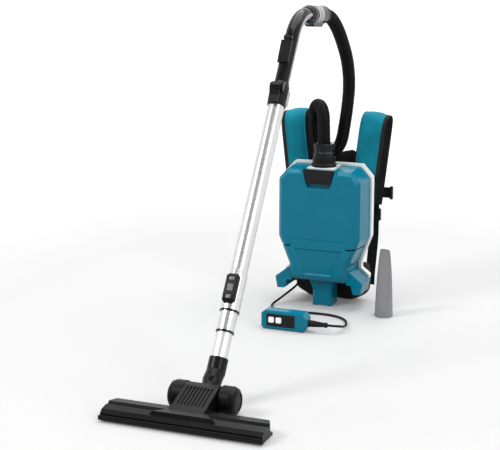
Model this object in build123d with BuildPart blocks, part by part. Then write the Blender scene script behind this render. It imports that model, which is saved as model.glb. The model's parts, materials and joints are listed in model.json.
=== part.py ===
"""Cordless backpack vacuum cleaner with hose, telescopic wand, floor nozzle and crevice tool.

Millimetres, +Z up. The origin is the centre of the stand foot's sole, the pack faces -Y
and the wearer stands behind it, at +Y.
"""
from math import cos, pi, radians, sin, tan
import os

from build123d import *

os.makedirs("parts", exist_ok=True)

# ---------------------------------------------------------------- driving dimensions
FRONT_Y = -60.0          # front of the dust cover
SHELL_Y = 15.0           # where the teal front shells meet the rear housing
REAR_Y = 35.0            # back of the rear housing
PACK_HALF = 108.0        # half the width of the front shells at SHELL_Y
PACK_TOP = 348.0
WALL = 2.5               # moulded wall
DRAFT = 4.5              # draft of the front shells, degrees
BEVEL, BEVEL_SLOPE = 10.0, 44.0      # depth and slope of the bevel round the front face
BODY_GAP = 0.4           # gap between shells on different bodies

SEAM_MID = 174.0         # seam between dust cover and lower housing, on the centre tab
SEAM_SIDE = 157.0        # the same seam at the sides
TAB_HALF = 71.0
HINGE_Y, HINGE_Z = -54.0, 160.0      # dust cover's hinge axis

BAY_X, BAY_Y, BAY_SIZE = 56.0, -10.0, 36.0       # battery bays' mouths
FOOT_HALF = 24.0
FOOT_DEPTH = 50.0
FOOT_TOP = 65.6

INLET_X, INLET_Y = -2.0, -12.0       # axis of the hose inlet
INLET_RING, HOSE_EXIT = 372.0, 404.0     # foot of the swivel ring, and where the hose leaves it

HOSE_D = 31.0
CABLE_D = 5.6

LEAN = 34.0              # wand's lean from the vertical, degrees
WAND_X = 32.0            # plane of the wand
WAND_FOOT = (WAND_X, -734.4, 88.0)   # mouth of the nozzle's neck on the wand's axis
TUBE_R = 17.5            # outer tube
INNER_R = 16.0           # telescopic inner tube
SLEEVE_R = 17.8
SWAGE_R = 19.5           # widened lower end of the outer tube
TUBE_WALL = 0.9
RUNNING = 0.08           # radial running clearance

AXLE_Y, AXLE_Z = -805.0, 29.0        # nozzle's axle
WHEEL_R = 29.0
DRUM_R = 24.5
NOZZLE_LENGTH = 328.0
NOZZLE_FRONT, NOZZLE_REAR = -921.0, -848.0

CONTROLLER_LEFT, CONTROLLER_RIGHT = -70.0, 43.0
CONTROLLER_Y, CONTROLLER_DEPTH, CONTROLLER_HEIGHT = -254.0, 30.0, 45.0

TOOL_X, TOOL_Y, TOOL_HEIGHT = 166.0, -48.0, 165.0    # crevice tool stands beside the pack


def save(part, name):
    """Label one finished piece and write its STEP file."""
    part.label = name
    export_step(part, f"parts/{name}.step")


def outline(plane, points, radius=0.0, shrink=0.0):
    """Filled polygon on a plane, with rounded corners, shrunk by a wall."""
    with BuildSketch(plane) as face:
        with BuildLine():
            Polyline(*points, close=True)
        make_face()
        if radius:
            fillet(face.vertices(), radius)
        if shrink:
            offset(amount=-shrink, kind=Kind.INTERSECTION, mode=Mode.REPLACE)
    return face.sketch


def mirrored(half):
    """Closed outline from its right half, listed from the top centre to the bottom centre."""
    return half + [(-x, z) for x, z in reversed(half) if x > 0]


def side_plane(x):
    """Plane across the object at x: local X is +Y, local Y is +Z, and it faces +X."""
    return Plane(origin=(x, 0, 0), x_dir=(0, 1, 0), z_dir=(1, 0, 0))


# ---------------------------------------------------------------- front shells of the pack
FRONT_HALF = [(0, PACK_TOP), (84, PACK_TOP), (PACK_HALF, 321), (PACK_HALF, 176), (80, 108), (78, 66), (0, 66)]
WING = [(70, 102), (79, 98), (112, 72), (107, 44), (88, 44), (82, 66), (70, 66)]
WING_FRONT = -50.0


def front_form(shrink, rounding):
    """Closed drafted solid of the pack's front, shrunk on every side by a wall."""
    with BuildPart() as form:
        back = Plane.XZ.offset(-SHELL_Y - (0.2 if shrink else 0.0))
        extrude(outline(back, mirrored(FRONT_HALF[1:-1]), 0.0, shrink),
                amount=SHELL_Y - FRONT_Y - BEVEL + (0.2 if shrink else 0.0), taper=DRAFT)
        front = form.faces().sort_by(Axis.Y)[0]
        extrude(front, amount=BEVEL - shrink, taper=BEVEL_SLOPE)
        if rounding:
            corners = form.edges().filter_by(lambda edge: abs(edge.tangent_at(0.5).Y) > 0.5)
            fillet(corners, rounding)
            fillet(form.faces().sort_by(Axis.Y)[0].edges(), 6.0)
    return form.part


OUTER = front_form(0, 12.0)
INNER = front_form(WALL, 0)
HINGE_SPOTS = (-75.8, 75.8)
KNUCKLE_HALF, EAR_OFFSET, EAR_THICK, PIN_LENGTH = 4.3, 6.3, 3.0, 12.0

# Region above the stepped seam, used to cut the form into cover and lower housing
with BuildPart() as above_seam:
    with BuildSketch(Plane.XZ.offset(80)):
        with BuildLine():
            Polyline((-130, SEAM_SIDE), (-TAB_HALF, SEAM_SIDE), (-TAB_HALF, SEAM_MID), (TAB_HALF, SEAM_MID),
                     (TAB_HALF, SEAM_SIDE), (130, SEAM_SIDE), (130, 400), (-130, 400), close=True)
        make_face()
    extrude(amount=-120)

with BuildPart() as clear_of_cover:
    with BuildSketch(Plane.XZ.offset(80)):
        with BuildLine():
            Polyline((-130, SEAM_SIDE - 3.4), (-TAB_HALF + 0.5, SEAM_SIDE - 3.4),
                     (-TAB_HALF + 0.5, SEAM_MID - BODY_GAP), (TAB_HALF - 0.5, SEAM_MID - BODY_GAP),
                     (TAB_HALF - 0.5, SEAM_SIDE - 3.4), (130, SEAM_SIDE - 3.4), (130, 400), (-130, 400), close=True)
        make_face()
    extrude(amount=-120)

LATCH_TOP, LATCH_BOTTOM = 345.0, 311.0
LATCH_PIN_Y, LATCH_PIN_Z = -54.5, 317.0
TRUNNION_R, TRUNNION_END = 1.25, 37.0
NOTCH_HALF, NOTCH_FRONT = 34.0, -45.0

with BuildPart() as front_cover:
    add(OUTER)
    add(INNER, mode=Mode.SUBTRACT)
    # thick wall behind the latch, then its pocket and the finger recess under it
    with BuildSketch(Plane.XZ.offset(-FRONT_Y - WALL + 0.5)):
        with Locations((0, 322)):
            Rectangle(90, 46)
    extrude(amount=-13)
    with BuildSketch(Plane.XZ.offset(-FRONT_Y)):
        with BuildLine():
            Polyline((-40.5, 352), (-40.5, LATCH_TOP), (-32, LATCH_BOTTOM - 1), (-27, 301), (27, 301),
                     (32, LATCH_BOTTOM - 1), (40.5, LATCH_TOP), (40.5, 352), close=True)
        make_face()
    extrude(amount=-9.5, mode=Mode.SUBTRACT)
    # hinge knuckles inside the side skirts
    for x in HINGE_SPOTS:
        with BuildSketch(side_plane(x - KNUCKLE_HALF)):
            with BuildLine():
                Polyline((HINGE_Y - 3.6, HINGE_Z - 2), (HINGE_Y + 3, HINGE_Z - 2),
                         (HINGE_Y + 3, HINGE_Z + 3), (HINGE_Y - 3.6, HINGE_Z + 12), close=True)
            make_face()
            with Locations((HINGE_Y, HINGE_Z)):
                Circle(3.0)
        extrude(amount=2 * KNUCKLE_HALF)
    # the inlet bridge stays on the pack, so the cover's top is notched round it
    with Locations((0, (NOTCH_FRONT + 40) / 2, PACK_TOP)):
        Box(2 * NOTCH_HALF, 40 - NOTCH_FRONT, 40, mode=Mode.SUBTRACT)
    add(above_seam.part, mode=Mode.INTERSECT)
    with Locations((0, SHELL_Y, 250)):
        Box(300, 2 * BODY_GAP, 300, mode=Mode.SUBTRACT)
    for x in HINGE_SPOTS:
        with BuildSketch(side_plane(x - 8)):
            with Locations((HINGE_Y, HINGE_Z)):
                Circle(1.5 + RUNNING)
        extrude(amount=16, mode=Mode.SUBTRACT)
    # bores for the latch's trunnions
    with BuildSketch(side_plane(-TRUNNION_END - 1)):
        with Locations((LATCH_PIN_Y, LATCH_PIN_Z)):
            Circle(TRUNNION_R + RUNNING)
    extrude(amount=2 * TRUNNION_END + 2, mode=Mode.SUBTRACT)
save(front_cover.part, "front_cover")

with BuildPart() as lower_housing:
    add(OUTER)
    # wings that flare out beside the battery bays
    for side in (-1, 1):
        wing = [(side * x, z) for x, z in WING]
        extrude(outline(Plane.XZ.offset(-SHELL_Y), wing, 3.0), amount=SHELL_Y - WING_FRONT)
    add(INNER, mode=Mode.SUBTRACT)
    for side in (-1, 1):
        wing = [(side * x, z) for x, z in WING]
        extrude(outline(Plane.XZ.offset(-SHELL_Y - 0.2), wing, 0, WALL),
                amount=SHELL_Y - WING_FRONT - WALL, mode=Mode.SUBTRACT)
    add(clear_of_cover.part, mode=Mode.SUBTRACT)
    # recessed centre panel that narrows downwards, with its own wall behind it
    with BuildSketch(Plane.XZ.offset(-FRONT_Y - WALL + 0.5)):
        with BuildLine():
            Polyline((-66, 158), (66, 158), (40, 78), (-40, 78), close=True)
        make_face()
    extrude(amount=-7)
    with BuildSketch(Plane.XZ.offset(-FRONT_Y)):
        with BuildLine():
            Polyline((-60, 150), (60, 150), (33, 86), (-33, 86), close=True)
        make_face()
    extrude(amount=-3.5, taper=40, mode=Mode.SUBTRACT)
    # ledge of the tab is eased so that the cover's edge swings past it
    with BuildSketch(side_plane(-TAB_HALF)):
        with BuildLine():
            Polyline((FRONT_Y - 1, SEAM_MID + 1), (FRONT_Y - 1, SEAM_MID - 2.6),
                     (FRONT_Y + 2.6, SEAM_MID + 1), close=True)
        make_face()
    extrude(amount=2 * TAB_HALF, mode=Mode.SUBTRACT)
    # ears that hold the hinge pins, on the inner side of each knuckle
    for x in HINGE_SPOTS:
        inward = -1 if x > 0 else 1
        with BuildSketch(side_plane(x + inward * EAR_OFFSET - EAR_THICK / 2)):
            with BuildLine():
                Polyline((FRONT_Y + 10.5, 140), (FRONT_Y + 1.5, 146), (FRONT_Y + 1.5, 151),
                         (HINGE_Y - 1.5, HINGE_Z + 2.4), (HINGE_Y + 2.5, HINGE_Z + 2.4),
                         (HINGE_Y + 4.5, 140), close=True)
            make_face()
        extrude(amount=EAR_THICK)
        with BuildSketch(side_plane(x - 9)):
            with Locations((HINGE_Y, HINGE_Z)):
                Circle(1.5)
        extrude(amount=18, mode=Mode.SUBTRACT)
    # battery bay mouths and the opening over the stand foot
    for side in (-1, 1):
        with Locations((side * BAY_X, BAY_Y, 67)):
            Box(BAY_SIZE, BAY_SIZE, 12, mode=Mode.SUBTRACT)
save(lower_housing.part, "lower_housing")

with BuildPart() as hinge_pins:
    for x in HINGE_SPOTS:
        inward = -1 if x > 0 else 1
        with BuildSketch(side_plane(x + inward * 1.8 - PIN_LENGTH / 2)):
            with Locations((HINGE_Y, HINGE_Z)):
                Circle(1.5)
        extrude(amount=PIN_LENGTH)
save(hinge_pins.part, "cover_hinge_pins")

# ---------------------------------------------------------------- latch on the cover
with BuildPart() as cover_latch:
    with BuildSketch(Plane.XZ.offset(-FRONT_Y + 1.5)):
        with BuildLine():
            Polyline((-38, LATCH_TOP), (-30.5, LATCH_BOTTOM), (30.5, LATCH_BOTTOM), (38, LATCH_TOP), close=True)
        make_face()
    extrude(amount=-8.5)
    # the face breaks into two slopes
    with BuildSketch(side_plane(-40)):
        with BuildLine():
            Polyline((FRONT_Y - 3, 346), (FRONT_Y - 3, 330), (FRONT_Y + 3.5, 346), close=True)
        make_face()
        with BuildLine():
            Polyline((FRONT_Y - 3, 309), (FRONT_Y - 3, 326), (FRONT_Y + 1, 309), close=True)
        make_face()
    extrude(amount=80, mode=Mode.SUBTRACT)
    with BuildSketch(side_plane(-TRUNNION_END)):
        with Locations((LATCH_PIN_Y, LATCH_PIN_Z)):
            Circle(TRUNNION_R)
    extrude(amount=2 * TRUNNION_END)
save(cover_latch.part, "cover_latch")

# ---------------------------------------------------------------- rear housing and gasket
REAR_HALF = [(0, 353), (86, 353), (112, 324), (112, 178), (88, 112), (88, 96), (109, 80),
             (101, 46), (84, 46), (78, 66), (0, 66)]
SCREW_SPOTS = [(-92, 316), (92, 316), (-98, 200), (98, 200), (-79, 105), (79, 105)]
SCREW_HEAD_R, SCREW_R = 3.2, 1.6
CABLE_START, CABLE_SECOND = (-66, 20, 62), (-70, 11, 47)
CABLE_FIRST_RUN = Vector(*CABLE_SECOND) - Vector(*CABLE_START)
GLAND_PLANE = Plane(origin=CABLE_START, z_dir=CABLE_FIRST_RUN)
GLAND_R = 3.9
COLLAR_R, COLLAR_SEAT_R = 30.5, 21.9     # inlet collar's flange, and its spigot in the bridge

with BuildPart() as rear_housing:
    extrude(outline(Plane.XZ.offset(-REAR_Y), mirrored(REAR_HALF[1:-1]), 5.0), amount=REAR_Y - SHELL_Y)
    fillet(rear_housing.faces().sort_by(Axis.Y)[-1].edges(), 3.0)
    extrude(outline(Plane.XZ.offset(-REAR_Y + 3), mirrored(REAR_HALF[1:-1]), 5.0, 6.5),
            amount=30, mode=Mode.SUBTRACT)
    # bosses with counterbored screw holes
    for x, z in SCREW_SPOTS:
        with BuildSketch(Plane.XZ.offset(-REAR_Y + 2)):
            with Locations((x, z)):
                Circle(5)
        extrude(amount=REAR_Y - SHELL_Y - 3)
        with BuildSketch(Plane.XZ.offset(-REAR_Y - 1)):
            with Locations((x, z)):
                Circle(SCREW_HEAD_R + 0.1)
        extrude(amount=3.6, mode=Mode.SUBTRACT)
        with BuildSketch(Plane.XZ.offset(-REAR_Y)):
            with Locations((x, z)):
                Circle(SCREW_R)
        extrude(amount=REAR_Y - SHELL_Y, mode=Mode.SUBTRACT)
    # bridge that carries the hose inlet over the dust cover's notch
    with Locations((0, (NOTCH_FRONT + SHELL_Y) / 2 + 0.4, PACK_TOP - 3)):
        Box(2 * NOTCH_HALF - 1.2, SHELL_Y - NOTCH_FRONT, 6)
    with Locations((0, SHELL_Y + 2, PACK_TOP - 4)):
        Box(2 * NOTCH_HALF - 1.2, 10, 8)
    with Locations((INLET_X, INLET_Y, PACK_TOP - 3)):
        Cylinder(COLLAR_SEAT_R, 30, mode=Mode.SUBTRACT)
    with Locations((INLET_X, INLET_Y, PACK_TOP + 10)):
        Cylinder(COLLAR_R + 0.2, 20, mode=Mode.SUBTRACT)
    # exhaust slots in the left wall
    for z in range(200, 300, 12):
        with Locations((-110, 24, z)):
            Box(20, 9, 5, mode=Mode.SUBTRACT)
    # controller cable's gland
    with BuildSketch(GLAND_PLANE):
        Circle(GLAND_R)
    extrude(amount=-18, mode=Mode.SUBTRACT)
save(rear_housing.part, "rear_housing")

with BuildPart() as housing_screws:
    for x, z in SCREW_SPOTS:
        with BuildSketch(Plane.XZ.offset(-REAR_Y + 0.4)):
            with Locations((x, z)):
                Circle(SCREW_HEAD_R)
        extrude(amount=2.2)
        with BuildSketch(Plane.XZ.offset(-REAR_Y + 2)):
            with Locations((x, z)):
                Circle(SCREW_R)
        extrude(amount=13)
save(housing_screws.part, "housing_screws")

with BuildPart() as cover_gasket:
    band = outline(Plane.XZ.offset(-SHELL_Y), mirrored(FRONT_HALF[1:5] + [(66, SEAM_MID + 6)]), 4.0, WALL + 1.2)
    hole = outline(Plane.XZ.offset(-SHELL_Y), mirrored(FRONT_HALF[1:5] + [(66, SEAM_MID + 6)]), 4.0, WALL + 6.2)
    extrude(band, amount=3)
    extrude(hole, amount=3, mode=Mode.SUBTRACT)
    with Locations((0, SHELL_Y, PACK_TOP)):
        Box(2 * NOTCH_HALF + 2, 20, 30, mode=Mode.SUBTRACT)
    with Locations((0, SHELL_Y, 100)):
        Box(300, 40, 172, mode=Mode.SUBTRACT)
save(cover_gasket.part, "cover_gasket")

# ---------------------------------------------------------------- stand foot
with BuildPart() as stand_foot:
    with BuildSketch(Plane.XZ.offset(FOOT_DEPTH / 2)):
        with BuildLine():
            Polyline((-FOOT_HALF, 0), (-FOOT_HALF, 46), (-33, FOOT_TOP), (33, FOOT_TOP), (FOOT_HALF, 46),
                     (FOOT_HALF, 0), close=True)
        make_face()
    extrude(amount=-FOOT_DEPTH)
    chamfer(stand_foot.edges().filter_by(Axis.Z).group_by(Axis.Y)[0], 5.0)
    # the front face leans back to the sole and has a shallow notch between two toes
    with BuildSketch(side_plane(-40)):
        with BuildLine():
            Polyline((-30, -1), (-21, -1), (-25.2, 50), (-30, 50), close=True)
        make_face()
    extrude(amount=80, mode=Mode.SUBTRACT)
    with Locations((0, -22, 0)):
        Box(26, 16, 5, mode=Mode.SUBTRACT)
    with Locations((0, 2, 38)):
        Box(FOOT_HALF * 2 - 10, FOOT_DEPTH - 12, 64, mode=Mode.SUBTRACT)
save(stand_foot.part, "stand_foot")

# ---------------------------------------------------------------- hose inlet
INLET_AXIS = Axis((INLET_X, INLET_Y, 0), (0, 0, 1))
INLET_SECTION = Plane(origin=(INLET_X, INLET_Y, 0), x_dir=(1, 0, 0), z_dir=(0, -1, 0))
BORE_R = 12.5            # air passage in hose, inlet and cuffs

with BuildPart() as inlet_collar:
    revolve(outline(INLET_SECTION, [(BORE_R, 318), (BORE_R, 380), (18, 380), (18, INLET_RING), (26, INLET_RING),
                                    (28, 369), (28, 356), (COLLAR_R, 354), (COLLAR_R, 348), (COLLAR_SEAT_R, 348),
                                    (COLLAR_SEAT_R, 338),
                                    (17, 336), (17, 318)]), axis=INLET_AXIS)
save(inlet_collar.part, "inlet_collar")

with BuildPart() as inlet_ring:
    revolve(outline(INLET_SECTION, [(18 + RUNNING, INLET_RING + 0.3), (18 + RUNNING, 380.3), (15.9, 380.3),
                                    (15.9, HOSE_EXIT - 2), (18, HOSE_EXIT), (24.5, HOSE_EXIT), (26, HOSE_EXIT - 2),
                                    (26, 396), (24.5, 394), (24.5, 384), (26.5, 382), (26.5, INLET_RING + 0.3)]),
            axis=INLET_AXIS)
save(inlet_ring.part, "inlet_ring")

# ---------------------------------------------------------------- inside the pack
with BuildPart() as dust_bag:
    with BuildSketch(Plane.XZ.offset(-6)):
        with Locations((0, 252)):
            RectangleRounded(164, 124, 26)
    extrude(amount=44)
    fillet(dust_bag.faces().filter_by(Axis.Y).edges(), 10)
    # card collar round the bag's mouth
    with Locations((INLET_X, INLET_Y - 1, 315)):
        Box(70, 32, 4)
    with Locations((INLET_X, INLET_Y, 305)):
        Cylinder(BORE_R, 30, mode=Mode.SUBTRACT)
save(dust_bag.part, "dust_bag")

with BuildPart() as prefilter:
    with Locations((0, -18, 183)):
        Box(128, 52, 6)
    fillet(prefilter.edges().filter_by(Axis.Z), 5)
save(prefilter.part, "prefilter")

with BuildPart() as hepa_filter:
    with Locations((0, -18, 165)):
        Box(126, 54, 20)
    for i in range(12):
        with Locations((-55 + 10 * i, -18, 157)):
            Box(4, 46, 10, mode=Mode.SUBTRACT)
save(hepa_filter.part, "hepa_filter")

MOTOR_Y, MOTOR_R = -12.0, 36.0
MOTOR_AXIS = Axis((0, MOTOR_Y, 0), (0, 0, 1))
MOTOR_SECTION = Plane(origin=(0, MOTOR_Y, 0), x_dir=(1, 0, 0), z_dir=(0, -1, 0))
with BuildPart() as motor_housing:
    revolve(outline(MOTOR_SECTION, [(MOTOR_R, 80), (MOTOR_R, 146), (12, 146), (12, 143), (33, 143), (33, 83),
                                    (3.05, 83), (3.05, 80)]), axis=MOTOR_AXIS)
save(motor_housing.part, "motor_housing")

with BuildPart() as motor_stator:
    revolve(outline(MOTOR_SECTION, [(20, 88), (20, 114), (32.9, 114), (32.9, 88)]), axis=MOTOR_AXIS)
save(motor_stator.part, "motor_stator")

with BuildPart() as fan_rotor:
    revolve(outline(MOTOR_SECTION, [(0, 78.5), (3, 78.5), (3, 90), (19, 90), (19, 112), (3, 112), (3, 124),
                                    (31, 124), (31, 126), (8, 128), (5, 141), (0, 141)]), axis=MOTOR_AXIS)
    for blade in range(9):
        angle = 2 * pi * blade / 9
        with BuildSketch(Plane(origin=(18 * cos(angle), MOTOR_Y + 18 * sin(angle), 126),
                               x_dir=(cos(angle + 0.5), sin(angle + 0.5), 0), z_dir=(0, 0, 1))):
            Rectangle(20, 1.4)
        extrude(amount=10)
save(fan_rotor.part, "fan_rotor")

with BuildPart() as motor_mounts:
    for level in (74.4, 146):
        revolve(outline(MOTOR_SECTION, [(30, level), (30, level + 5.6), (37.5, level + 5.6), (37.5, level)]),
                axis=MOTOR_AXIS)
save(motor_mounts.part, "motor_mounts")

with BuildPart() as circuit_board:
    with Locations((0, 28, 118)):
        Box(110, 1.6, 60)
    with Locations((-30, 26, 120), (10, 26, 128), (34, 25.2, 106)):
        Box(14, 4, 14)
save(circuit_board.part, "circuit_board")

with BuildPart() as battery_terminals:
    for side in (-1, 1):
        with Locations((side * BAY_X, BAY_Y, 67)):
            Box(BAY_SIZE - 0.6, BAY_SIZE - 0.6, 8)
        with Locations((side * BAY_X, BAY_Y, 61)):
            Box(22, 26, 5)
        for pin in (-6, 0, 6):
            with Locations((side * BAY_X + pin, BAY_Y, 60)):
                Box(2, 18, 8, mode=Mode.SUBTRACT)
        for rail in (-14.5, 14.5):
            with Locations((side * BAY_X + rail, BAY_Y, 61)):
                Box(3, 34, 5)
save(battery_terminals.part, "battery_terminals")

# ---------------------------------------------------------------- harness
PAD_BACK = 84.0
STRAP_LEAN = 6.6
STRAP_X, STRAP_WIDTH = 81.5, 56.0
STRAP_FRONT, STRAP_BACK = 38.0, 112.0    # straps' foremost and rearmost faces
STRAP_BASE = 300.0
WEB_X, WEB_THICK = 90.0, 2.4

with BuildPart() as harness_frame:
    half = [(74, 345), (80, 318), (80, 200), (64, 190), (64, 120), (84, 62), (70, 30)]
    extrude(outline(Plane.XZ.offset(-STRAP_FRONT), mirrored(half), 6.0), amount=STRAP_FRONT - REAR_Y)
    half = [(74, 312), (82, 290), (66, 200), (66, 120), (84, 60), (70, 30)]
    extrude(outline(Plane.XZ.offset(-47), mirrored(half), 6.0), amount=47 - STRAP_FRONT)
    with BuildSketch(Plane.XZ.offset(-48)):
        with Locations((0, 250)):
            RectangleRounded(84, 90, 12)
        with Locations((0, 110)):
            RectangleRounded(70, 90, 12)
    extrude(amount=16, mode=Mode.SUBTRACT)
save(harness_frame.part, "harness_frame")

with BuildPart() as back_pad:
    half = [(54, 369), (66, 340), (80, 300), (62, 200), (62, 120), (78, 100)]
    extrude(outline(Plane.XZ.offset(-80), mirrored(half), 7.0), amount=12)
    half = [(48, 338), (48, 316), (74, 306), (60, 200), (60, 120), (76, 100)]
    extrude(outline(Plane.XZ.offset(-70), mirrored(half), 7.0), amount=23)
save(back_pad.part, "back_pad")

with BuildPart() as waist_pad:
    half = [(92, 97), (97, 60), (94, 22), (56, 0)]
    extrude(outline(Plane.XZ.offset(-PAD_BACK), mirrored(half), 8.0), amount=PAD_BACK - 47)
save(waist_pad.part, "waist_pad")


def strap_plane(side, shift):
    """Plane square to the strap's width, with local X as +Y and local Y up along the strap."""
    lean = side * radians(STRAP_LEAN)
    origin = (side * STRAP_X + shift * cos(lean), 0, STRAP_BASE - shift * sin(lean))
    return Plane(origin=origin, x_dir=(0, 1, 0), z_dir=(cos(lean), 0, -sin(lean)))


for side, word in ((-1, "left"), (1, "right")):
    with BuildPart() as shoulder_strap:
        with BuildSketch(strap_plane(side, -STRAP_WIDTH / 2)):
            with BuildLine():
                Polyline((STRAP_FRONT, 18), (STRAP_FRONT, 146), (STRAP_FRONT + 21, 176),
                         (STRAP_BACK - 10, 176), (STRAP_BACK, 150), (STRAP_BACK, -60),
                         (STRAP_BACK - 11, -60), (STRAP_BACK - 11, 146), (STRAP_BACK - 17, 165),
                         (STRAP_FRONT + 27, 165), (STRAP_FRONT + 11, 142), (STRAP_FRONT + 11, 18), close=True)
            make_face()
        extrude(amount=STRAP_WIDTH)
        crown = shoulder_strap.edges().filter_by(lambda edge: abs(edge.tangent_at(0.5).X) > 0.9)
        fillet(crown.group_by(Axis.Z)[-1], 8)
    save(shoulder_strap.part, f"shoulder_strap_{word}")

# webbing sewn behind each strap's end, down to the waist pad
with BuildPart() as strap_webbing:
    for side in (-1, 1):
        with BuildSketch(side_plane(side * WEB_X - 12.5)):
            with BuildLine():
                Polyline((STRAP_BACK, 254), (STRAP_BACK + WEB_THICK, 254), (STRAP_BACK + WEB_THICK, 150),
                         (PAD_BACK + 2.6, 58), (PAD_BACK + 2.6, 36), (PAD_BACK, 36), (PAD_BACK, 58.7),
                         (STRAP_BACK, 150.7), close=True)
            make_face()
        extrude(amount=25)
save(strap_webbing.part, "strap_webbing")

with BuildPart() as ladder_locks:
    for side in (-1, 1):
        with Locations((side * WEB_X, STRAP_BACK + WEB_THICK / 2, 212)):
            Box(34, 7, 30)
            Box(25.6, 3.0, 40, mode=Mode.SUBTRACT)
        with Locations((side * WEB_X, STRAP_BACK + 4, 219), (side * WEB_X, STRAP_BACK + 4, 205)):
            Box(27, 6, 6, mode=Mode.SUBTRACT)
save(ladder_locks.part, "ladder_locks")

# loose end of the chest belt, with its bar
with BuildPart() as chest_strap:
    with Locations((126, STRAP_BACK + WEB_THICK / 2, 269)):
        Box(8, 9, 34)
    fillet(chest_strap.edges(), 1.5)
    with Locations((108, STRAP_BACK + WEB_THICK / 2, 269)):
        Box(36, WEB_THICK, 27)
save(chest_strap.part, "chest_strap")

# ---------------------------------------------------------------- hose
HOSE_ROUTE = [(-2, -12, HOSE_EXIT), (-3, -12.5, 432), (-4, -10.5, 463), (-12, 1, 484), (-26, 16.5, 493),
              (-40.5, 33.5, 487), (-48, 43.5, 465), (-50, 45, 432), (-47.5, 44.5, 402), (-34, 45, 381),
              (-12, 47, 372), (10, 46.5, 380), (23, 46, 400), (29, 46, 434), (35, 50, 484), (39, 52, 540),
              (39, 35, 598), (37, -5, 650), (35, -48, 690), (32, -93, 714.7), (32, -135.5, 716.95)]


def corner_radii(route):
    """Arc radius for each corner: 0.45 of the shorter run over the tangent of half the turn."""
    points = [Vector(*point) for point in route]
    radii = []
    for before, corner, after in zip(points, points[1:], points[2:]):
        first, second = corner - before, after - corner
        half_turn = radians(first.get_angle(second)) / 2
        radii.append(0.45 * min(first.length, second.length) / tan(half_turn))
    return radii


def print_route(name, route, wire):
    """Print a route's length and its arc radii."""
    print(f"{name}: length {wire.length:.0f}, radii", [round(radius) for radius in corner_radii(route)])


def start_plane(wire):
    """Plane square to the start of a path."""
    return Plane(origin=wire @ 0, z_dir=wire % 0)


with BuildPart() as hose:
    with BuildLine() as hose_line:
        FilletPolyline(*HOSE_ROUTE, radius=corner_radii(HOSE_ROUTE))
    hose_path = hose_line.wires()[0]
    with BuildSketch(start_plane(hose_path)):
        Circle(HOSE_D / 2)
        Circle(BORE_R, mode=Mode.SUBTRACT)
    sweep(path=hose_path)
print_route("hose", HOSE_ROUTE, hose_path)
print(f"hose volume {hose.part.volume:.0f}, section times length",
      round((HOSE_D ** 2 / 4 - BORE_R ** 2) * pi * hose_path.length))
save(hose.part, "hose")

# ---------------------------------------------------------------- wand
LEAN_SIN, LEAN_COS = sin(radians(LEAN)), cos(radians(LEAN))
ALONG = (0, LEAN_SIN, LEAN_COS)
OUTWARD = (0, -LEAN_COS, LEAN_SIN)       # away from the pack, square to the wand
WAND_AXIS = Axis(WAND_FOOT, ALONG)
# local X is +X and local Y runs up the wand
WAND_SECTION = Plane(origin=WAND_FOOT, x_dir=(1, 0, 0), z_dir=OUTWARD)


def on_wand(along, inward=0.0, sideways=0.0):
    """Point on the wand: distance from its foot, and offset towards the pack side."""
    return (WAND_X + sideways, WAND_FOOT[1] + along * LEAN_SIN + inward * LEAN_COS,
            WAND_FOOT[2] + along * LEAN_COS - inward * LEAN_SIN)


def across_wand(along):
    """Plane square to the wand: local X is +X, local Y points to the pack side."""
    return Plane(origin=on_wand(along), x_dir=(1, 0, 0), z_dir=ALONG)


def beside_wand(sideways):
    """Plane parallel to the wand's own plane, facing +X: local X points to the pack side, local Y up."""
    return Plane(origin=on_wand(0, 0, sideways), x_dir=(0, LEAN_COS, -LEAN_SIN), z_dir=(1, 0, 0))


def outside_wand(along, inward):
    """Plane facing away from the pack: local X is +X, local Y runs up the wand."""
    return Plane(origin=on_wand(along, inward), x_dir=(1, 0, 0), z_dir=OUTWARD)


RING_LOW, RING_HIGH, SWAGE_END = 51.6, 94.3, 182.0
LOCK_LOW, LOCK_HIGH, BUTTON_ALONG = 106.0, 168.0, 137.0
SOCKET_LOW, SOCKET_HIGH = 548.0, 596.0
SOCKET_R = 19.8
FLAP_LOW, FLAP_HIGH = 643.0, 708.0
BEND_START, BEND_R = 715.0, 96.0
PIPE_R = 15.5
EXIT_DROP = 3.0          # the cuff points this many degrees below the horizontal
TUBE_END = 566.0

with BuildPart() as outer_tube:
    revolve(outline(WAND_SECTION, [
        (SWAGE_R - TUBE_WALL, RING_HIGH + 2), (SWAGE_R - TUBE_WALL, SWAGE_END - 14),
        (TUBE_R - TUBE_WALL, SWAGE_END), (TUBE_R - TUBE_WALL, TUBE_END), (TUBE_R, TUBE_END),
        (TUBE_R, SWAGE_END), (SWAGE_R, SWAGE_END - 14), (SWAGE_R, RING_HIGH + 2)]), axis=WAND_AXIS)
save(outer_tube.part, "outer_tube")

with BuildPart() as guide_sleeve:
    revolve(outline(WAND_SECTION, [
        (INNER_R + RUNNING, RING_LOW + 2), (INNER_R + RUNNING, 150), (SWAGE_R - TUBE_WALL, 150),
        (SWAGE_R - TUBE_WALL, RING_HIGH + 2), (SLEEVE_R, RING_HIGH + 2), (SLEEVE_R - 0.4, RING_LOW + 2)]),
        axis=WAND_AXIS)
    with BuildSketch(outside_wand(73, 0)):
        Circle(1.6)
    extrude(amount=30, mode=Mode.SUBTRACT)
save(guide_sleeve.part, "guide_sleeve")

with BuildPart() as tube_rings:
    for along, inner, outer in ((RING_HIGH, SLEEVE_R, 20.3), (RING_LOW, INNER_R + RUNNING, 18.8)):
        revolve(outline(WAND_SECTION, [(inner, along - 2), (inner, along + 1.9), (outer - 0.6, along + 1.9),
                                       (outer, along + 1.2), (outer, along - 1.3), (outer - 0.6, along - 2)]),
                axis=WAND_AXIS)
save(tube_rings.part, "tube_rings")

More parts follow.
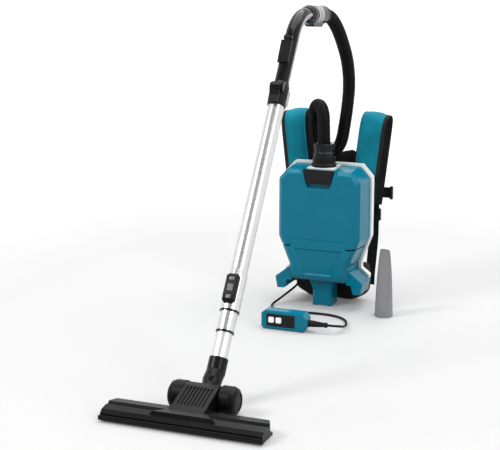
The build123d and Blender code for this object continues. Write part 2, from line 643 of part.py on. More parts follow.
with BuildPart() as inner_tube:
    revolve(outline(WAND_SECTION, [(INNER_R - TUBE_WALL, -18), (INNER_R - TUBE_WALL, 420), (INNER_R, 420),
                                   (INNER_R, -18)]), axis=WAND_AXIS)
save(inner_tube.part, "inner_tube")

with BuildPart() as lock_housing:
    with BuildSketch(beside_wand(-13)):
        with BuildLine():
            Polyline((-10, LOCK_LOW), (-21, LOCK_LOW), (-25, LOCK_LOW + 8), (-26, LOCK_LOW + 18),
                     (-26, LOCK_HIGH - 14), (-23, LOCK_HIGH - 4), (-20, LOCK_HIGH), (-10, LOCK_HIGH), close=True)
        make_face()
    extrude(amount=26)
    chamfer(lock_housing.edges().filter_by(lambda edge: abs(edge.tangent_at(0.5).dot(Vector(*OUTWARD))) > 0.99), 5)
    fillet(lock_housing.faces().sort_by(Axis((0, 0, 0), OUTWARD))[-1].edges().filter_by(
        lambda edge: abs(edge.tangent_at(0.5).X) < 0.1), 3)
    with BuildSketch(across_wand(LOCK_LOW - 5)):
        Circle(SWAGE_R)
    extrude(amount=LOCK_HIGH - LOCK_LOW + 10, mode=Mode.SUBTRACT)
    with Locations(outside_wand(BUTTON_ALONG, -27)):
        Box(13, 15, 14, mode=Mode.SUBTRACT)
save(lock_housing.part, "lock_housing")

with BuildPart() as telescope_button:
    with Locations(outside_wand(BUTTON_ALONG, -24.4)):
        Box(12.2, 14.2, 5)
    fillet(telescope_button.faces().sort_by(Axis((0, 0, 0), OUTWARD))[-1].edges(), 1.0)
save(telescope_button.part, "telescope_button")


def bend_point(turned):
    """Point on the pipe's bend, in degrees above +Y round the bend's centre."""
    centre = on_wand(BEND_START, BEND_R)
    return (WAND_X, centre[1] + BEND_R * cos(radians(turned)), centre[2] + BEND_R * sin(radians(turned)))


BEND_FIRST, BEND_LAST = 180 - LEAN, 90 - EXIT_DROP
LEVER_PIN, FLAP_PIN = (-23.0, SOCKET_HIGH - 7.5), (-20.8, FLAP_HIGH - 5.5)
PIN_R = 1.5

with BuildPart() as bent_pipe:
    with BuildLine() as pipe_line:
        Line(on_wand(TUBE_END + 2), on_wand(BEND_START))
        bend = ThreePointArc(on_wand(BEND_START), bend_point((BEND_FIRST + BEND_LAST) / 2), bend_point(BEND_LAST))
        Line(bend @ 1, bend @ 1 + (bend % 1) * 16)
    pipe_path = pipe_line.wires()[0]
    with BuildSketch(start_plane(pipe_path)):
        Circle(PIPE_R)
    sweep(path=pipe_path)
    # socket for the tube, with two cheeks for the lock lever
    revolve(outline(WAND_SECTION, [(0, SOCKET_LOW), (0, SOCKET_HIGH + 6), (PIPE_R + 1.5, SOCKET_HIGH + 6),
                                   (SOCKET_R - 0.4, SOCKET_HIGH - 4), (SOCKET_R, SOCKET_LOW + 1),
                                   (SOCKET_R - 0.6, SOCKET_LOW)]), axis=WAND_AXIS)
    for side in (-1, 1):
        with BuildSketch(beside_wand(side * 13.2 - 1.7)):
            with BuildLine():
                Polyline((-12, SOCKET_LOW + 26), (-20, SOCKET_LOW + 26), (-25.4, SOCKET_HIGH - 12),
                         (-25.4, SOCKET_HIGH - 4), (-12, SOCKET_HIGH + 6), close=True)
            make_face()
        extrude(amount=3.4)
    # seat and ears of the relief flap
    with BuildSketch(beside_wand(-9)):
        with BuildLine():
            Polyline((-10, FLAP_LOW - 4), (-16.6, FLAP_LOW - 1), (-16.6, FLAP_HIGH + 2), (-10, FLAP_HIGH + 6),
                     close=True)
        make_face()
    extrude(amount=18)
    for side in (-1, 1):
        with BuildSketch(beside_wand(side * 7.6 - 1.4)):
            with BuildLine():
                Polyline((-12, FLAP_HIGH - 11), (-23.4, FLAP_HIGH - 9), (-23.4, FLAP_HIGH - 1),
                         (-12, FLAP_HIGH + 4), close=True)
            make_face()
        extrude(amount=2.8)
    with BuildSketch(across_wand(SOCKET_LOW - 1)):
        Circle(TUBE_R)
    extrude(amount=TUBE_END - SOCKET_LOW + 1.4, mode=Mode.SUBTRACT)
    with BuildSketch(across_wand(SOCKET_LOW)):
        Circle(BORE_R)
    extrude(amount=TUBE_END + 2 - SOCKET_LOW, mode=Mode.SUBTRACT)
    with BuildSketch(start_plane(pipe_path)):
        Circle(BORE_R)
    sweep(path=pipe_path, mode=Mode.SUBTRACT)
    for half_span, pin in ((16, LEVER_PIN), (10, FLAP_PIN)):
        with BuildSketch(beside_wand(-half_span)):
            with Locations(pin):
                Circle(PIN_R)
        extrude(amount=2 * half_span, mode=Mode.SUBTRACT)
    # air hole under the flap
    with BuildSketch(outside_wand(FLAP_LOW + 20, 0)):
        Circle(4)
    extrude(amount=30, mode=Mode.SUBTRACT)
save(bent_pipe.part, "bent_pipe")

with BuildPart() as pipe_lock:
    with BuildSketch(beside_wand(-11)):
        with BuildLine():
            Polyline((-20.3, SOCKET_LOW - 1), (-26, SOCKET_LOW), (-28, SOCKET_LOW + 14), (-28, SOCKET_HIGH - 10),
                     (-26, SOCKET_HIGH - 2), (-21.6, SOCKET_HIGH - 2), (-20.3, SOCKET_HIGH - 6), close=True)
        make_face()
    extrude(amount=22)
    with BuildSketch(beside_wand(-12)):
        with Locations(LEVER_PIN):
            Circle(PIN_R + RUNNING)
    extrude(amount=24, mode=Mode.SUBTRACT)
    for groove in (14, 19):
        with Locations(outside_wand(SOCKET_HIGH - groove, -28)):
            Box(15, 2.2, 3, mode=Mode.SUBTRACT)
save(pipe_lock.part, "pipe_lock")

with BuildPart() as relief_flap:
    with BuildSketch(beside_wand(-12)):
        with BuildLine():
            Polyline((-17, FLAP_LOW), (-21.5, FLAP_LOW + 1), (-25, FLAP_HIGH - 20), (-25, FLAP_HIGH - 14),
                     (-17, FLAP_HIGH - 14), close=True)
        make_face()
    extrude(amount=24)
    with BuildSketch(beside_wand(-5.8)):
        with BuildLine():
            Polyline((-18, FLAP_HIGH - 16), (-24, FLAP_HIGH - 16), (-24, FLAP_HIGH - 5), (-18, FLAP_HIGH - 5),
                     close=True)
        make_face()
        with Locations(FLAP_PIN):
            Circle(3.1)
    extrude(amount=11.6)
    with BuildSketch(beside_wand(-14)):
        with Locations(FLAP_PIN):
            Circle(PIN_R + RUNNING)
    extrude(amount=28, mode=Mode.SUBTRACT)
save(relief_flap.part, "relief_flap")

with BuildPart() as lever_pins:
    for half_span, pin in ((14.5, LEVER_PIN), (8.8, FLAP_PIN)):
        with BuildSketch(beside_wand(-half_span)):
            with Locations(pin):
                Circle(PIN_R)
        extrude(amount=2 * half_span)
save(lever_pins.part, "lever_pins")

# ---------------------------------------------------------------- swivel cuff between pipe and hose
CUFF_START = bend_point(BEND_LAST)
EXIT = (0, cos(radians(EXIT_DROP)), -sin(radians(EXIT_DROP)))
CUFF_AXIS = Axis(CUFF_START, EXIT)
# local X is +X and local Y runs towards the hose
CUFF_SECTION = Plane(origin=CUFF_START, x_dir=(1, 0, 0), z_dir=(0, -EXIT[2], EXIT[1]))
CUFF_R, CUFF_END = 20.6, 108.0
SPIGOT_R = 16.0

with BuildPart() as handle_cuff:
    revolve(outline(CUFF_SECTION, [(PIPE_R, 2), (PIPE_R, 16), (BORE_R, 16), (BORE_R, 96), (SPIGOT_R + RUNNING, 96),
                                   (SPIGOT_R + RUNNING, CUFF_END), (20, CUFF_END), (CUFF_R, CUFF_END - 4),
                                   (CUFF_R, 32), (21.2, 30), (21.2, 18), (17, 2)]), axis=CUFF_AXIS)
    # finger guard under the cuff
    with BuildSketch(side_plane(WAND_X - 11)):
        with BuildLine():
            Polyline((-232, 703), (-214, 695), (-172, 692), (-160, 697), (-158, 703), (-232, 707), close=True)
        make_face()
    extrude(amount=22)
save(handle_cuff.part, "handle_cuff")

with BuildPart() as hose_end:
    revolve(outline(CUFF_SECTION, [(BORE_R, CUFF_END - 11), (BORE_R, CUFF_END + 6.6), (20.2, CUFF_END + 6.6),
                                   (20.8, CUFF_END + 4), (20.8, CUFF_END + 0.4), (SPIGOT_R, CUFF_END + 0.4),
                                   (SPIGOT_R, CUFF_END - 11)]), axis=CUFF_AXIS)
save(hose_end.part, "hose_end")

# silver trims: bands on the cuff, stripe along the pipe, panels on the socket's flanks
with BuildPart() as wand_trims:
    revolve(outline(CUFF_SECTION, [(CUFF_R, 33), (CUFF_R, 48), (21.8, 48), (21.8, 33)]), axis=CUFF_AXIS)
    revolve(outline(CUFF_SECTION, [(CUFF_R, 51), (CUFF_R, 68), (21.8, 68), (21.8, 51)]),
            axis=CUFF_AXIS)
    # the cuff's black top and its finger guard part the bands into two flanks
    with Locations((WAND_X, -200, 700), (WAND_X, -200, 742)):
        Box(22.8, 120, 22, mode=Mode.SUBTRACT)
    with BuildLine() as stripe_line:
        Line(on_wand(SOCKET_HIGH + 8), on_wand(BEND_START))
        ThreePointArc(on_wand(BEND_START), bend_point((BEND_FIRST + BEND_LAST) / 2), bend_point(BEND_LAST))
    with BuildSketch(across_wand(SOCKET_HIGH + 8)):
        with BuildLine():
            Polyline((0, 0), (30, -7), (30, 5), close=True)
        make_face()
        Circle(PIPE_R + 1, mode=Mode.INTERSECT)
        Circle(PIPE_R, mode=Mode.SUBTRACT)
    sweep(path=stripe_line.wires()[0])
    for side in (-1, 1):
        with Locations(beside_wand(side * (SOCKET_R + 0.7))):
            with Locations((3, SOCKET_LOW + 21, 0)):
                Box(13, 34, 1.2)
save(wand_trims.part, "wand_trims")

# ---------------------------------------------------------------- floor nozzle
AXLE = (WAND_X, AXLE_Y, AXLE_Z)
AXLE_R = 4.0
NECK_R = 19.0
NECK_ELBOW = on_wand(-30)
ELBOW_LEAN = (Vector(*NECK_ELBOW) - Vector(*AXLE)).normalized()
ELBOW_JOINT = 47.0       # distance from the axle to the swivel plane
SWIVEL_AXIS = Axis(AXLE, ELBOW_LEAN)
# local X is +X and local Y runs from the axle to the neck
SWIVEL_SECTION = Plane(origin=AXLE, x_dir=(1, 0, 0), z_dir=(0, -ELBOW_LEAN.Z, ELBOW_LEAN.Y))
SWIVEL_R = 15.0

with BuildPart() as swivel_neck:
    with BuildSketch(across_wand(-30)):
        Circle(NECK_R)
    extrude(amount=28)
    with Locations(NECK_ELBOW):
        Sphere(NECK_R + 0.3)
    revolve(outline(SWIVEL_SECTION, [(0, ELBOW_JOINT), (NECK_R, ELBOW_JOINT), (NECK_R, 63.5), (0, 63.5)]),
            axis=SWIVEL_AXIS)
    with BuildSketch(across_wand(-18)):
        Circle(INNER_R)
    extrude(amount=24, mode=Mode.SUBTRACT)
    with BuildSketch(across_wand(-31)):
        Circle(INNER_R - TUBE_WALL)
    extrude(amount=30, mode=Mode.SUBTRACT)
    with Locations(NECK_ELBOW):
        Sphere(INNER_R - TUBE_WALL + 0.6, mode=Mode.SUBTRACT)
    revolve(outline(SWIVEL_SECTION, [(0, 20), (SWIVEL_R + RUNNING, 20), (SWIVEL_R + RUNNING, ELBOW_JOINT + 9),
                                     (14, ELBOW_JOINT + 9), (14, 64), (0, 64)]), axis=SWIVEL_AXIS,
            mode=Mode.SUBTRACT)
save(swivel_neck.part, "swivel_neck")

with BuildPart() as pivot_drum:
    with BuildSketch(side_plane(WAND_X - 31)):
        with Locations((AXLE_Y, AXLE_Z)):
            Circle(DRUM_R)
    extrude(amount=62)
    revolve(outline(SWIVEL_SECTION, [(0, 12), (16.5, 12), (16.5, 30), (NECK_R, ELBOW_JOINT - 6),
                                     (NECK_R, ELBOW_JOINT - 0.4), (SWIVEL_R, ELBOW_JOINT - 0.4),
                                     (SWIVEL_R, ELBOW_JOINT + 8.6), (0, ELBOW_JOINT + 8.6)]), axis=SWIVEL_AXIS)
    with BuildSketch(side_plane(WAND_X - 27)):
        with Locations((AXLE_Y, AXLE_Z)):
            Circle(DRUM_R - 2.5)
            Circle(7, mode=Mode.SUBTRACT)
    extrude(amount=54, mode=Mode.SUBTRACT)
    # air way from the drum up through the elbow
    revolve(outline(SWIVEL_SECTION, [(0, 9), (BORE_R, 9), (BORE_R, 60), (0, 60)]), axis=SWIVEL_AXIS,
            mode=Mode.SUBTRACT)
    with BuildSketch(side_plane(WAND_X - 29)):
        with Locations((AXLE_Y, AXLE_Z)):
            Circle(7)
    extrude(amount=58)
    # mouth towards the nozzle's duct
    with Locations((WAND_X, AXLE_Y - 20, AXLE_Z - 4)):
        Box(44, 18, 20, mode=Mode.SUBTRACT)
    with BuildSketch(side_plane(WAND_X - 40)):
        with Locations((AXLE_Y, AXLE_Z)):
            Circle(AXLE_R + RUNNING)
    extrude(amount=80, mode=Mode.SUBTRACT)
save(pivot_drum.part, "pivot_drum")

NOZZLE_LEFT = WAND_X - NOZZLE_LENGTH / 2
NOZZLE_MID = (NOZZLE_FRONT + NOZZLE_REAR) / 2
SOLE_TOP = 5.0
WING_PROFILE = [(NOZZLE_FRONT, SOLE_TOP), (NOZZLE_FRONT, 16), (NOZZLE_FRONT + 8, 22), (NOZZLE_FRONT + 26, 25.5),
                (NOZZLE_FRONT + 31, 23), (NOZZLE_FRONT + 37, 28), (NOZZLE_FRONT + 56, 27.5),
                (NOZZLE_REAR, 14), (NOZZLE_REAR, SOLE_TOP)]
CHEEK_IN, CHEEK_OUT = 31.6, 35.0         # hood's side plates, either side of the drum
with BuildPart() as nozzle_body:
    with BuildSketch(side_plane(NOZZLE_LEFT)):
        with BuildLine():
            Polyline(*WING_PROFILE, close=True)
        make_face()
    extrude(amount=NOZZLE_LENGTH)
    chamfer(nozzle_body.edges().filter_by(Axis.Z).group_by(Axis.Y)[-1], length=16, length2=34)
    # hump that rises from the front lip to the drum
    with BuildSketch(side_plane(WAND_X - CHEEK_OUT)):
        with BuildLine():
            Polyline((NOZZLE_FRONT + 6, 8), (NOZZLE_FRONT + 6, 20), (NOZZLE_FRONT + 40, 34), (AXLE_Y - 14, 57),
                     (AXLE_Y, 58.4), (AXLE_Y, 8), close=True)
        make_face()
    extrude(amount=2 * CHEEK_OUT)
    with BuildSketch(Plane.XY.offset(SOLE_TOP + 1)):
        with BuildLine():
            Line((WAND_X - 92, NOZZLE_FRONT + 8), (WAND_X + 92, NOZZLE_FRONT + 8))
            ThreePointArc((WAND_X + 92, NOZZLE_FRONT + 8), (WAND_X + 50, NOZZLE_FRONT + 32),
                          (WAND_X + 34, AXLE_Y - 34))
            Line((WAND_X + 34, AXLE_Y - 34), (WAND_X - 34, AXLE_Y - 34))
            ThreePointArc((WAND_X - 34, AXLE_Y - 34), (WAND_X - 50, NOZZLE_FRONT + 32),
                          (WAND_X - 92, NOZZLE_FRONT + 8))
        make_face()
    extrude(amount=24, taper=14)
    # bed of the drum, open to the rear
    with BuildSketch(side_plane(WAND_X - CHEEK_IN)):
        with Locations((AXLE_Y, AXLE_Z)):
            Circle(DRUM_R + 0.4)
    extrude(amount=2 * CHEEK_IN, mode=Mode.SUBTRACT)
    with Locations((WAND_X, AXLE_Y + 15, 30)):
        Box(2 * CHEEK_IN, 31, 70, mode=Mode.SUBTRACT)
    for side in (-1, 1):
        middle = side * (CHEEK_IN + CHEEK_OUT) / 2
        with BuildSketch(side_plane(WAND_X + middle - (CHEEK_OUT - CHEEK_IN) / 2)):
            with Locations((AXLE_Y, AXLE_Z)):
                Circle(23)
            with BuildLine():
                Polyline((AXLE_Y, SOLE_TOP + 1), (AXLE_Y - 60, SOLE_TOP + 1), (AXLE_Y - 60, 22), (AXLE_Y - 14, 57),
                         (AXLE_Y, 52), close=True)
            make_face()
        extrude(amount=CHEEK_OUT - CHEEK_IN)
    with BuildSketch(side_plane(WAND_X - 40)):
        with Locations((AXLE_Y, AXLE_Z)):
            Circle(AXLE_R)
    extrude(amount=80, mode=Mode.SUBTRACT)
    # suction channel, and the duct from it to the drum
    with Locations((WAND_X, NOZZLE_MID, 10)):
        Box(NOZZLE_LENGTH - 50, 44, 14, mode=Mode.SUBTRACT)
    with Locations((WAND_X, NOZZLE_REAR, 20)):
        Box(50, 60, 22, mode=Mode.SUBTRACT)
    # eight grooves down the hump
    for column in range(8):
        with Locations(Plane(origin=(WAND_X - 25.2 + 7.2 * column, AXLE_Y - 44, 46.4), x_dir=(1, 0, 0),
                             z_dir=(0, -0.343, 0.939))):
            Box(3.6, 54, 5.6, mode=Mode.SUBTRACT)
save(nozzle_body.part, "nozzle_body")

STRIP_SPOTS = [(WAND_X, NOZZLE_MID - 18), (WAND_X, NOZZLE_MID + 18)]
with BuildPart() as nozzle_sole:
    with Locations((WAND_X, NOZZLE_MID + 0.5, SOLE_TOP / 2)):
        Box(NOZZLE_LENGTH - 4, NOZZLE_REAR - NOZZLE_FRONT - 5, SOLE_TOP)
    chamfer(nozzle_sole.edges().filter_by(Axis.Z).group_by(Axis.Y)[-1], length=14, length2=30)
    with Locations((WAND_X, NOZZLE_MID, SOLE_TOP / 2)):
        Box(NOZZLE_LENGTH - 60, 18, 12, mode=Mode.SUBTRACT)
    for x, y in STRIP_SPOTS:
        with Locations((x, y, 0.6)):
            Box(NOZZLE_LENGTH - 80, 7, 1.6, mode=Mode.SUBTRACT)
save(nozzle_sole.part, "nozzle_sole")

with BuildPart() as lint_strips:
    for x, y in STRIP_SPOTS:
        with Locations((x, y, 0.7)):
            Box(NOZZLE_LENGTH - 81, 6.4, 1.4)
save(lint_strips.part, "lint_strips")

with BuildPart() as nozzle_bumper:
    with Locations((WAND_X, NOZZLE_FRONT - 2.2, 7.5)):
        Box(NOZZLE_LENGTH + 4, 4.4, 9)
    fillet(nozzle_bumper.edges().filter_by(Axis.X).group_by(Axis.Y)[0], 1.5)
    with Locations((WAND_X, NOZZLE_FRONT - 4.2, 12.4)):
        Box(NOZZLE_LENGTH + 2, 2.2, 1.6)
save(nozzle_bumper.part, "nozzle_bumper")

with BuildPart() as nozzle_axle:
    with BuildSketch(side_plane(WAND_X - 69)):
        with Locations((AXLE_Y, AXLE_Z)):
            Circle(AXLE_R)
    extrude(amount=138)
save(nozzle_axle.part, "nozzle_axle")

# local X is the radius and local Y runs along the axle
WHEEL_SECTION = Plane(origin=AXLE, x_dir=(0, 0, 1), z_dir=(0, 1, 0))
for side, word in ((-1, "left"), (1, "right")):
    with BuildPart() as wheel:
        profile = [(AXLE_R + RUNNING, 35.6), (WHEEL_R - 2, 35.6), (WHEEL_R, 38), (WHEEL_R, 58), (WHEEL_R - 3, 66),
                   (WHEEL_R - 9, 70), (WHEEL_R - 11, 70), (WHEEL_R - 13, 68.5), (6, 69.4),
                   (AXLE_R + RUNNING, 69.4)]
        revolve(outline(WHEEL_SECTION, [(radius, side * out) for radius, out in profile]),
                axis=Axis(AXLE, (1, 0, 0)))
    save(wheel.part, f"wheel_{word}")

# ---------------------------------------------------------------- controller on its cable
CONTROLLER_MID = (CONTROLLER_LEFT + CONTROLLER_RIGHT) / 2
CONTROLLER_LONG = CONTROLLER_RIGHT - CONTROLLER_LEFT
HALF_DEPTH = CONTROLLER_DEPTH / 2
CASE_OUTLINE = [(CONTROLLER_LEFT, 6), (CONTROLLER_LEFT, 37), (CONTROLLER_LEFT + 9, CONTROLLER_HEIGHT),
                (CONTROLLER_RIGHT - 8, CONTROLLER_HEIGHT), (CONTROLLER_RIGHT, 33), (CONTROLLER_RIGHT, 12),
                (CONTROLLER_RIGHT - 9, 0), (CONTROLLER_LEFT + 5, 0)]
PANEL_X, BUTTON_Z = CONTROLLER_MID - 8, 23.0
BUTTON_SPOTS = (CONTROLLER_MID - 31, CONTROLLER_MID - 13)

with BuildPart() as controller_front:
    extrude(outline(Plane.XZ.offset(-CONTROLLER_Y), CASE_OUTLINE), amount=-HALF_DEPTH)
    chamfer(controller_front.faces().sort_by(Axis.Y)[0].edges(), 2.5)
    with Locations((PANEL_X, CONTROLLER_Y + 1, 22.5)):
        Box(70, 4, 30, mode=Mode.SUBTRACT)
    for x in BUTTON_SPOTS:
        with Locations((x, CONTROLLER_Y + 4, BUTTON_Z)):
            Box(14.4, 12, 14.4, mode=Mode.SUBTRACT)
    with Locations((CONTROLLER_MID, CONTROLLER_Y + 10.5, 22.5)):
        Box(CONTROLLER_LONG - 24, 10, 32, mode=Mode.SUBTRACT)
save(controller_front.part, "controller_front")

with BuildPart() as controller_back:
    extrude(outline(Plane.XZ.offset(-CONTROLLER_Y - HALF_DEPTH), CASE_OUTLINE), amount=-HALF_DEPTH)
    chamfer(controller_back.faces().sort_by(Axis.Y)[-1].edges(), 2.5)
    # ridges on the top edge
    for step in range(5):
        with Locations((CONTROLLER_LEFT + 22 + 7 * step, CONTROLLER_Y + 22, CONTROLLER_HEIGHT)):
            Box(3, 12, 1.6, mode=Mode.SUBTRACT)
    with Locations((CONTROLLER_MID, CONTROLLER_Y + 20, 22.5)):
        Box(CONTROLLER_LONG - 24, 10.1, 32, mode=Mode.SUBTRACT)
save(controller_back.part, "controller_back")

with BuildPart() as controller_panel:
    with Locations((PANEL_X, CONTROLLER_Y + 1.7, 22.5)):
        Box(69.6, 2.6, 29.6)
    fillet(controller_panel.edges().filter_by(Axis.Y), 3)
    for x in BUTTON_SPOTS:
        with Locations((x, CONTROLLER_Y, BUTTON_Z)):
            Box(14.4, 12, 14.4, mode=Mode.SUBTRACT)
    # raised indicator window
    with Locations((CONTROLLER_MID + 4, CONTROLLER_Y + 0.4, BUTTON_Z)):
        Box(9, 1.2, 12)
save(controller_panel.part, "controller_panel")

for x, name in zip(BUTTON_SPOTS, ("power_button", "mode_button")):
    with BuildPart() as button:
        with Locations((x, CONTROLLER_Y + 1.4, BUTTON_Z)):
            Box(13.6, 5.2, 13.6)
        fillet(button.edges().filter_by(Axis.Y), 3)
        fillet(button.faces().sort_by(Axis.Y)[0].edges(), 0.6)
    save(button.part, name)

with BuildPart() as controller_board:
    with Locations((CONTROLLER_MID, CONTROLLER_Y + 12, 22.5)):
        Box(CONTROLLER_LONG - 25, 1.6, 28)
save(controller_board.part, "controller_board")

CABLE_ROUTE = [CABLE_START, CABLE_SECOND, (-79, -2, 34), (-93, -19, 22), (-106, -39, 10.5), (-114, -64, 4.2),
               (-107, -92, 2.9), (-82, -108, 2.9), (-46, -109, 2.9), (-8, -102, 2.9), (30, -99, 2.9),
               (66, -105, 2.9), (92, -124, 2.9), (106, -152, 3.6), (113.5, -182, 6.2), (115.6, -207, 11),
               (115.6, -221.5, 15.5), (109.3, -232.7, 18.6), (98.5, -239, 20), (88, -239, 20)]

with BuildPart() as controller_cable:
    with BuildLine() as cable_line:
        FilletPolyline(*CABLE_ROUTE, radius=corner_radii(CABLE_ROUTE))
    cable_path = cable_line.wires()[0]
    with BuildSketch(start_plane(cable_path)):
        Circle(CABLE_D / 2)
    sweep(path=cable_path)
print_route("cable", CABLE_ROUTE, cable_path)
print(f"cable volume {controller_cable.part.volume:.0f}, section times length",
      round(pi * CABLE_D ** 2 / 4 * cable_path.length))
save(controller_cable.part, "controller_cable")

# tapered relief at the controller, and the gland at the pack
with BuildPart() as cable_reliefs:
    relief_end = CABLE_ROUTE[-1]
    relief_section = Plane(origin=(0, relief_end[1], relief_end[2]), x_dir=(0, 0, 1), z_dir=(0, 1, 0))
    revolve(outline(relief_section, [(0, CONTROLLER_RIGHT), (8.2, CONTROLLER_RIGHT), (7.6, CONTROLLER_RIGHT + 12),
                                     (5, 80), (6, 81.5), (6, 86), (5, relief_end[0]), (0, relief_end[0])]),
            axis=Axis((0, relief_end[1], relief_end[2]), (1, 0, 0)))
    with BuildSketch(GLAND_PLANE):
        Circle(GLAND_R)
    extrude(amount=-14)
save(cable_reliefs.part, "cable_reliefs")

# ---------------------------------------------------------------- crevice tool, stood on its socket
TOOL_SOCKET = 48.0
with BuildPart() as crevice_tool:
    with BuildSketch(Plane.XY):
        with Locations((TOOL_X, TOOL_Y)):
            Circle(22)
    with BuildSketch(Plane.XY.offset(62)):
        with Locations((TOOL_X, TOOL_Y)):
            Circle(19.5)
    with BuildSketch(Plane.XY.offset(112)):
        with Locations((TOOL_X, TOOL_Y)):
            Ellipse(17, 13)
    with BuildSketch(Plane.XY.offset(TOOL_HEIGHT)):
        with Locations((TOOL_X, TOOL_Y)):
            Ellipse(11.5, 7)
    loft()
    with BuildSketch(Plane.XY.offset(TOOL_SOCKET)):
        with Locations((TOOL_X, TOOL_Y)):
            Circle(15)
    with BuildSketch(Plane.XY.offset(112)):
        with Locations((TOOL_X, TOOL_Y)):
            Ellipse(15, 11)
    with BuildSketch(Plane.XY.offset(TOOL_HEIGHT)):
        with Locations((TOOL_X, TOOL_Y)):
            Ellipse(9.7, 5.2)
    loft(mode=Mode.SUBTRACT)
    with Locations((TOOL_X, TOOL_Y, TOOL_SOCKET / 2)):
        Cylinder(INNER_R + 0.1, TOOL_SOCKET + 1, mode=Mode.SUBTRACT)
    # slanted mouth
    with BuildSketch(Plane.XZ.offset(-TOOL_Y + 40)):
        with BuildLine():
            Polyline((TOOL_X - 20, TOOL_HEIGHT + 2), (TOOL_X + 20, TOOL_HEIGHT + 2), (TOOL_X + 20, TOOL_HEIGHT - 5),
                     (TOOL_X - 20, TOOL_HEIGHT - 1), close=True)
        make_face()
    extrude(amount=-80, mode=Mode.SUBTRACT)
save(crevice_tool.part, "crevice_tool")
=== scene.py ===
"""Looks for the backpack vacuum cleaner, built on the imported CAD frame. Metres throughout."""

from math import cos, pi, radians, sin

import bmesh
import bpy
from mathutils import Matrix, Vector
from mathutils.noise import noise as field
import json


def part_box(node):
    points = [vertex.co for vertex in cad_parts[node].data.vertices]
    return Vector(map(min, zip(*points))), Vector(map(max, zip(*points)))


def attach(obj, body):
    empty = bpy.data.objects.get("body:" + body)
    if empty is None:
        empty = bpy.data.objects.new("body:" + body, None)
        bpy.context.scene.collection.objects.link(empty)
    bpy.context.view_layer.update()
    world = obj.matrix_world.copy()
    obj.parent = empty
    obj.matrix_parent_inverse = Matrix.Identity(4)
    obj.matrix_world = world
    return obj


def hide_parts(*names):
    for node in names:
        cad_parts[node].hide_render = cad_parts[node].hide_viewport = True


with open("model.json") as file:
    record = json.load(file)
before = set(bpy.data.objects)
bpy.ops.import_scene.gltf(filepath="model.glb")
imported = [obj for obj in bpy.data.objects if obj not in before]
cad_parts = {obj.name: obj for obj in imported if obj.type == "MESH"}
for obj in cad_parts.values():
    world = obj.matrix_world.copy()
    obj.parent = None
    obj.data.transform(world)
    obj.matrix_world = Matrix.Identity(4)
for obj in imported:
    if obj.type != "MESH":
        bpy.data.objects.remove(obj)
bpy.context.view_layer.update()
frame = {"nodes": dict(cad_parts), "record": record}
nodes = frame["nodes"]
MM = 0.001
WAND_LEAN = radians(34)

# ---------------------------------------------------------------- camera
camera = bpy.data.objects.new("camera", bpy.data.cameras.new("camera"))
bpy.context.scene.collection.objects.link(camera)
camera.location = (0.994, -2.955, 0.887)
camera.rotation_euler = (radians(77.54), 0, radians(22.0))
camera.data.lens = 93.6
camera.data.sensor_width = 36
camera.data.clip_end = 50
bpy.context.scene.camera = camera

# ---------------------------------------------------------------- cords
HOSE_ROUTE = [(-2, -12, 404), (-3, -12.5, 432), (-4, -10.5, 463), (-12, 1, 484), (-26, 16.5, 493),
              (-40.5, 33.5, 487), (-48, 43.5, 465), (-50, 45, 432), (-47.5, 44.5, 402), (-34, 45, 381),
              (-12, 47, 372), (10, 46.5, 380), (23, 46, 400), (29, 46, 434), (35, 50, 484), (39, 52, 540),
              (39, 35, 598), (37, -5, 650), (35, -48, 690), (32, -93, 714.7), (32, -135.5, 716.95)]
CABLE_ROUTE = [(-66, 20, 62), (-70, 11, 47), (-79, -2, 34), (-93, -19, 22), (-106, -39, 10.5),
               (-114, -64, 4.2), (-107, -92, 2.9), (-82, -108, 2.9), (-46, -109, 2.9), (-8, -102, 2.9),
               (30, -99, 2.9), (66, -105, 2.9), (92, -124, 2.9), (106, -152, 3.6), (113.5, -182, 6.2),
               (115.6, -207, 11), (115.6, -221.5, 15.5), (109.3, -232.7, 18.6), (98.5, -239, 20),
               (88, -239, 20)]
HOSE_R, CABLE_R = 15.5 * MM, 2.8 * MM


def spline_line(points, steps=10):
    """Points along one smooth NURBS spline that follows a route's control points."""
    curve = bpy.data.curves.new("line", "CURVE")
    curve.dimensions = "3D"
    spline = curve.splines.new("NURBS")
    spline.points.add(len(points) - 1)
    for point, place in zip(spline.points, points):
        point.co = (*place, 1)
    spline.order_u = 3
    spline.use_endpoint_u = True
    spline.resolution_u = steps
    piece = bpy.data.objects.new("line", curve)
    bpy.context.scene.collection.objects.link(piece)
    mesh = bpy.data.meshes.new_from_object(piece)
    line = [vertex.co.copy() for vertex in mesh.vertices]
    bpy.data.meshes.remove(mesh)
    bpy.data.objects.remove(piece)
    return line


def resampled(line, spacing):
    """The same line with evenly spaced points."""
    lengths = [0.0]
    for a, b in zip(line, line[1:]):
        lengths.append(lengths[-1] + (b - a).length)
    count = max(2, round(lengths[-1] / spacing))
    points, index = [], 0
    for step in range(count + 1):
        wanted = lengths[-1] * step / count
        while index < len(line) - 2 and lengths[index + 1] < wanted:
            index += 1
        span = lengths[index + 1] - lengths[index]
        points.append(line[index].lerp(line[index + 1], (wanted - lengths[index]) / span if span else 0))
    return points


def mesh_object(name, verts, faces):
    """New smooth-shaded mesh object in the shared frame."""
    mesh = bpy.data.meshes.new(name)
    mesh.from_pydata([tuple(v) for v in verts], [], faces)
    mesh.validate()
    for polygon in mesh.polygons:
        polygon.use_smooth = True
    piece = bpy.data.objects.new(name, mesh)
    bpy.context.scene.collection.objects.link(piece)
    return piece


def frames_along(line, first_side):
    """Tangent and two cross directions at each point, turned as little as possible along the line."""
    side = Vector(first_side)
    result = []
    for index, point in enumerate(line):
        before, after = line[max(index - 1, 0)], line[min(index + 1, len(line) - 1)]
        tangent = (after - before).normalized()
        side = (side - side.dot(tangent) * tangent).normalized()
        result.append((point, tangent, side, tangent.cross(side)))
    return result


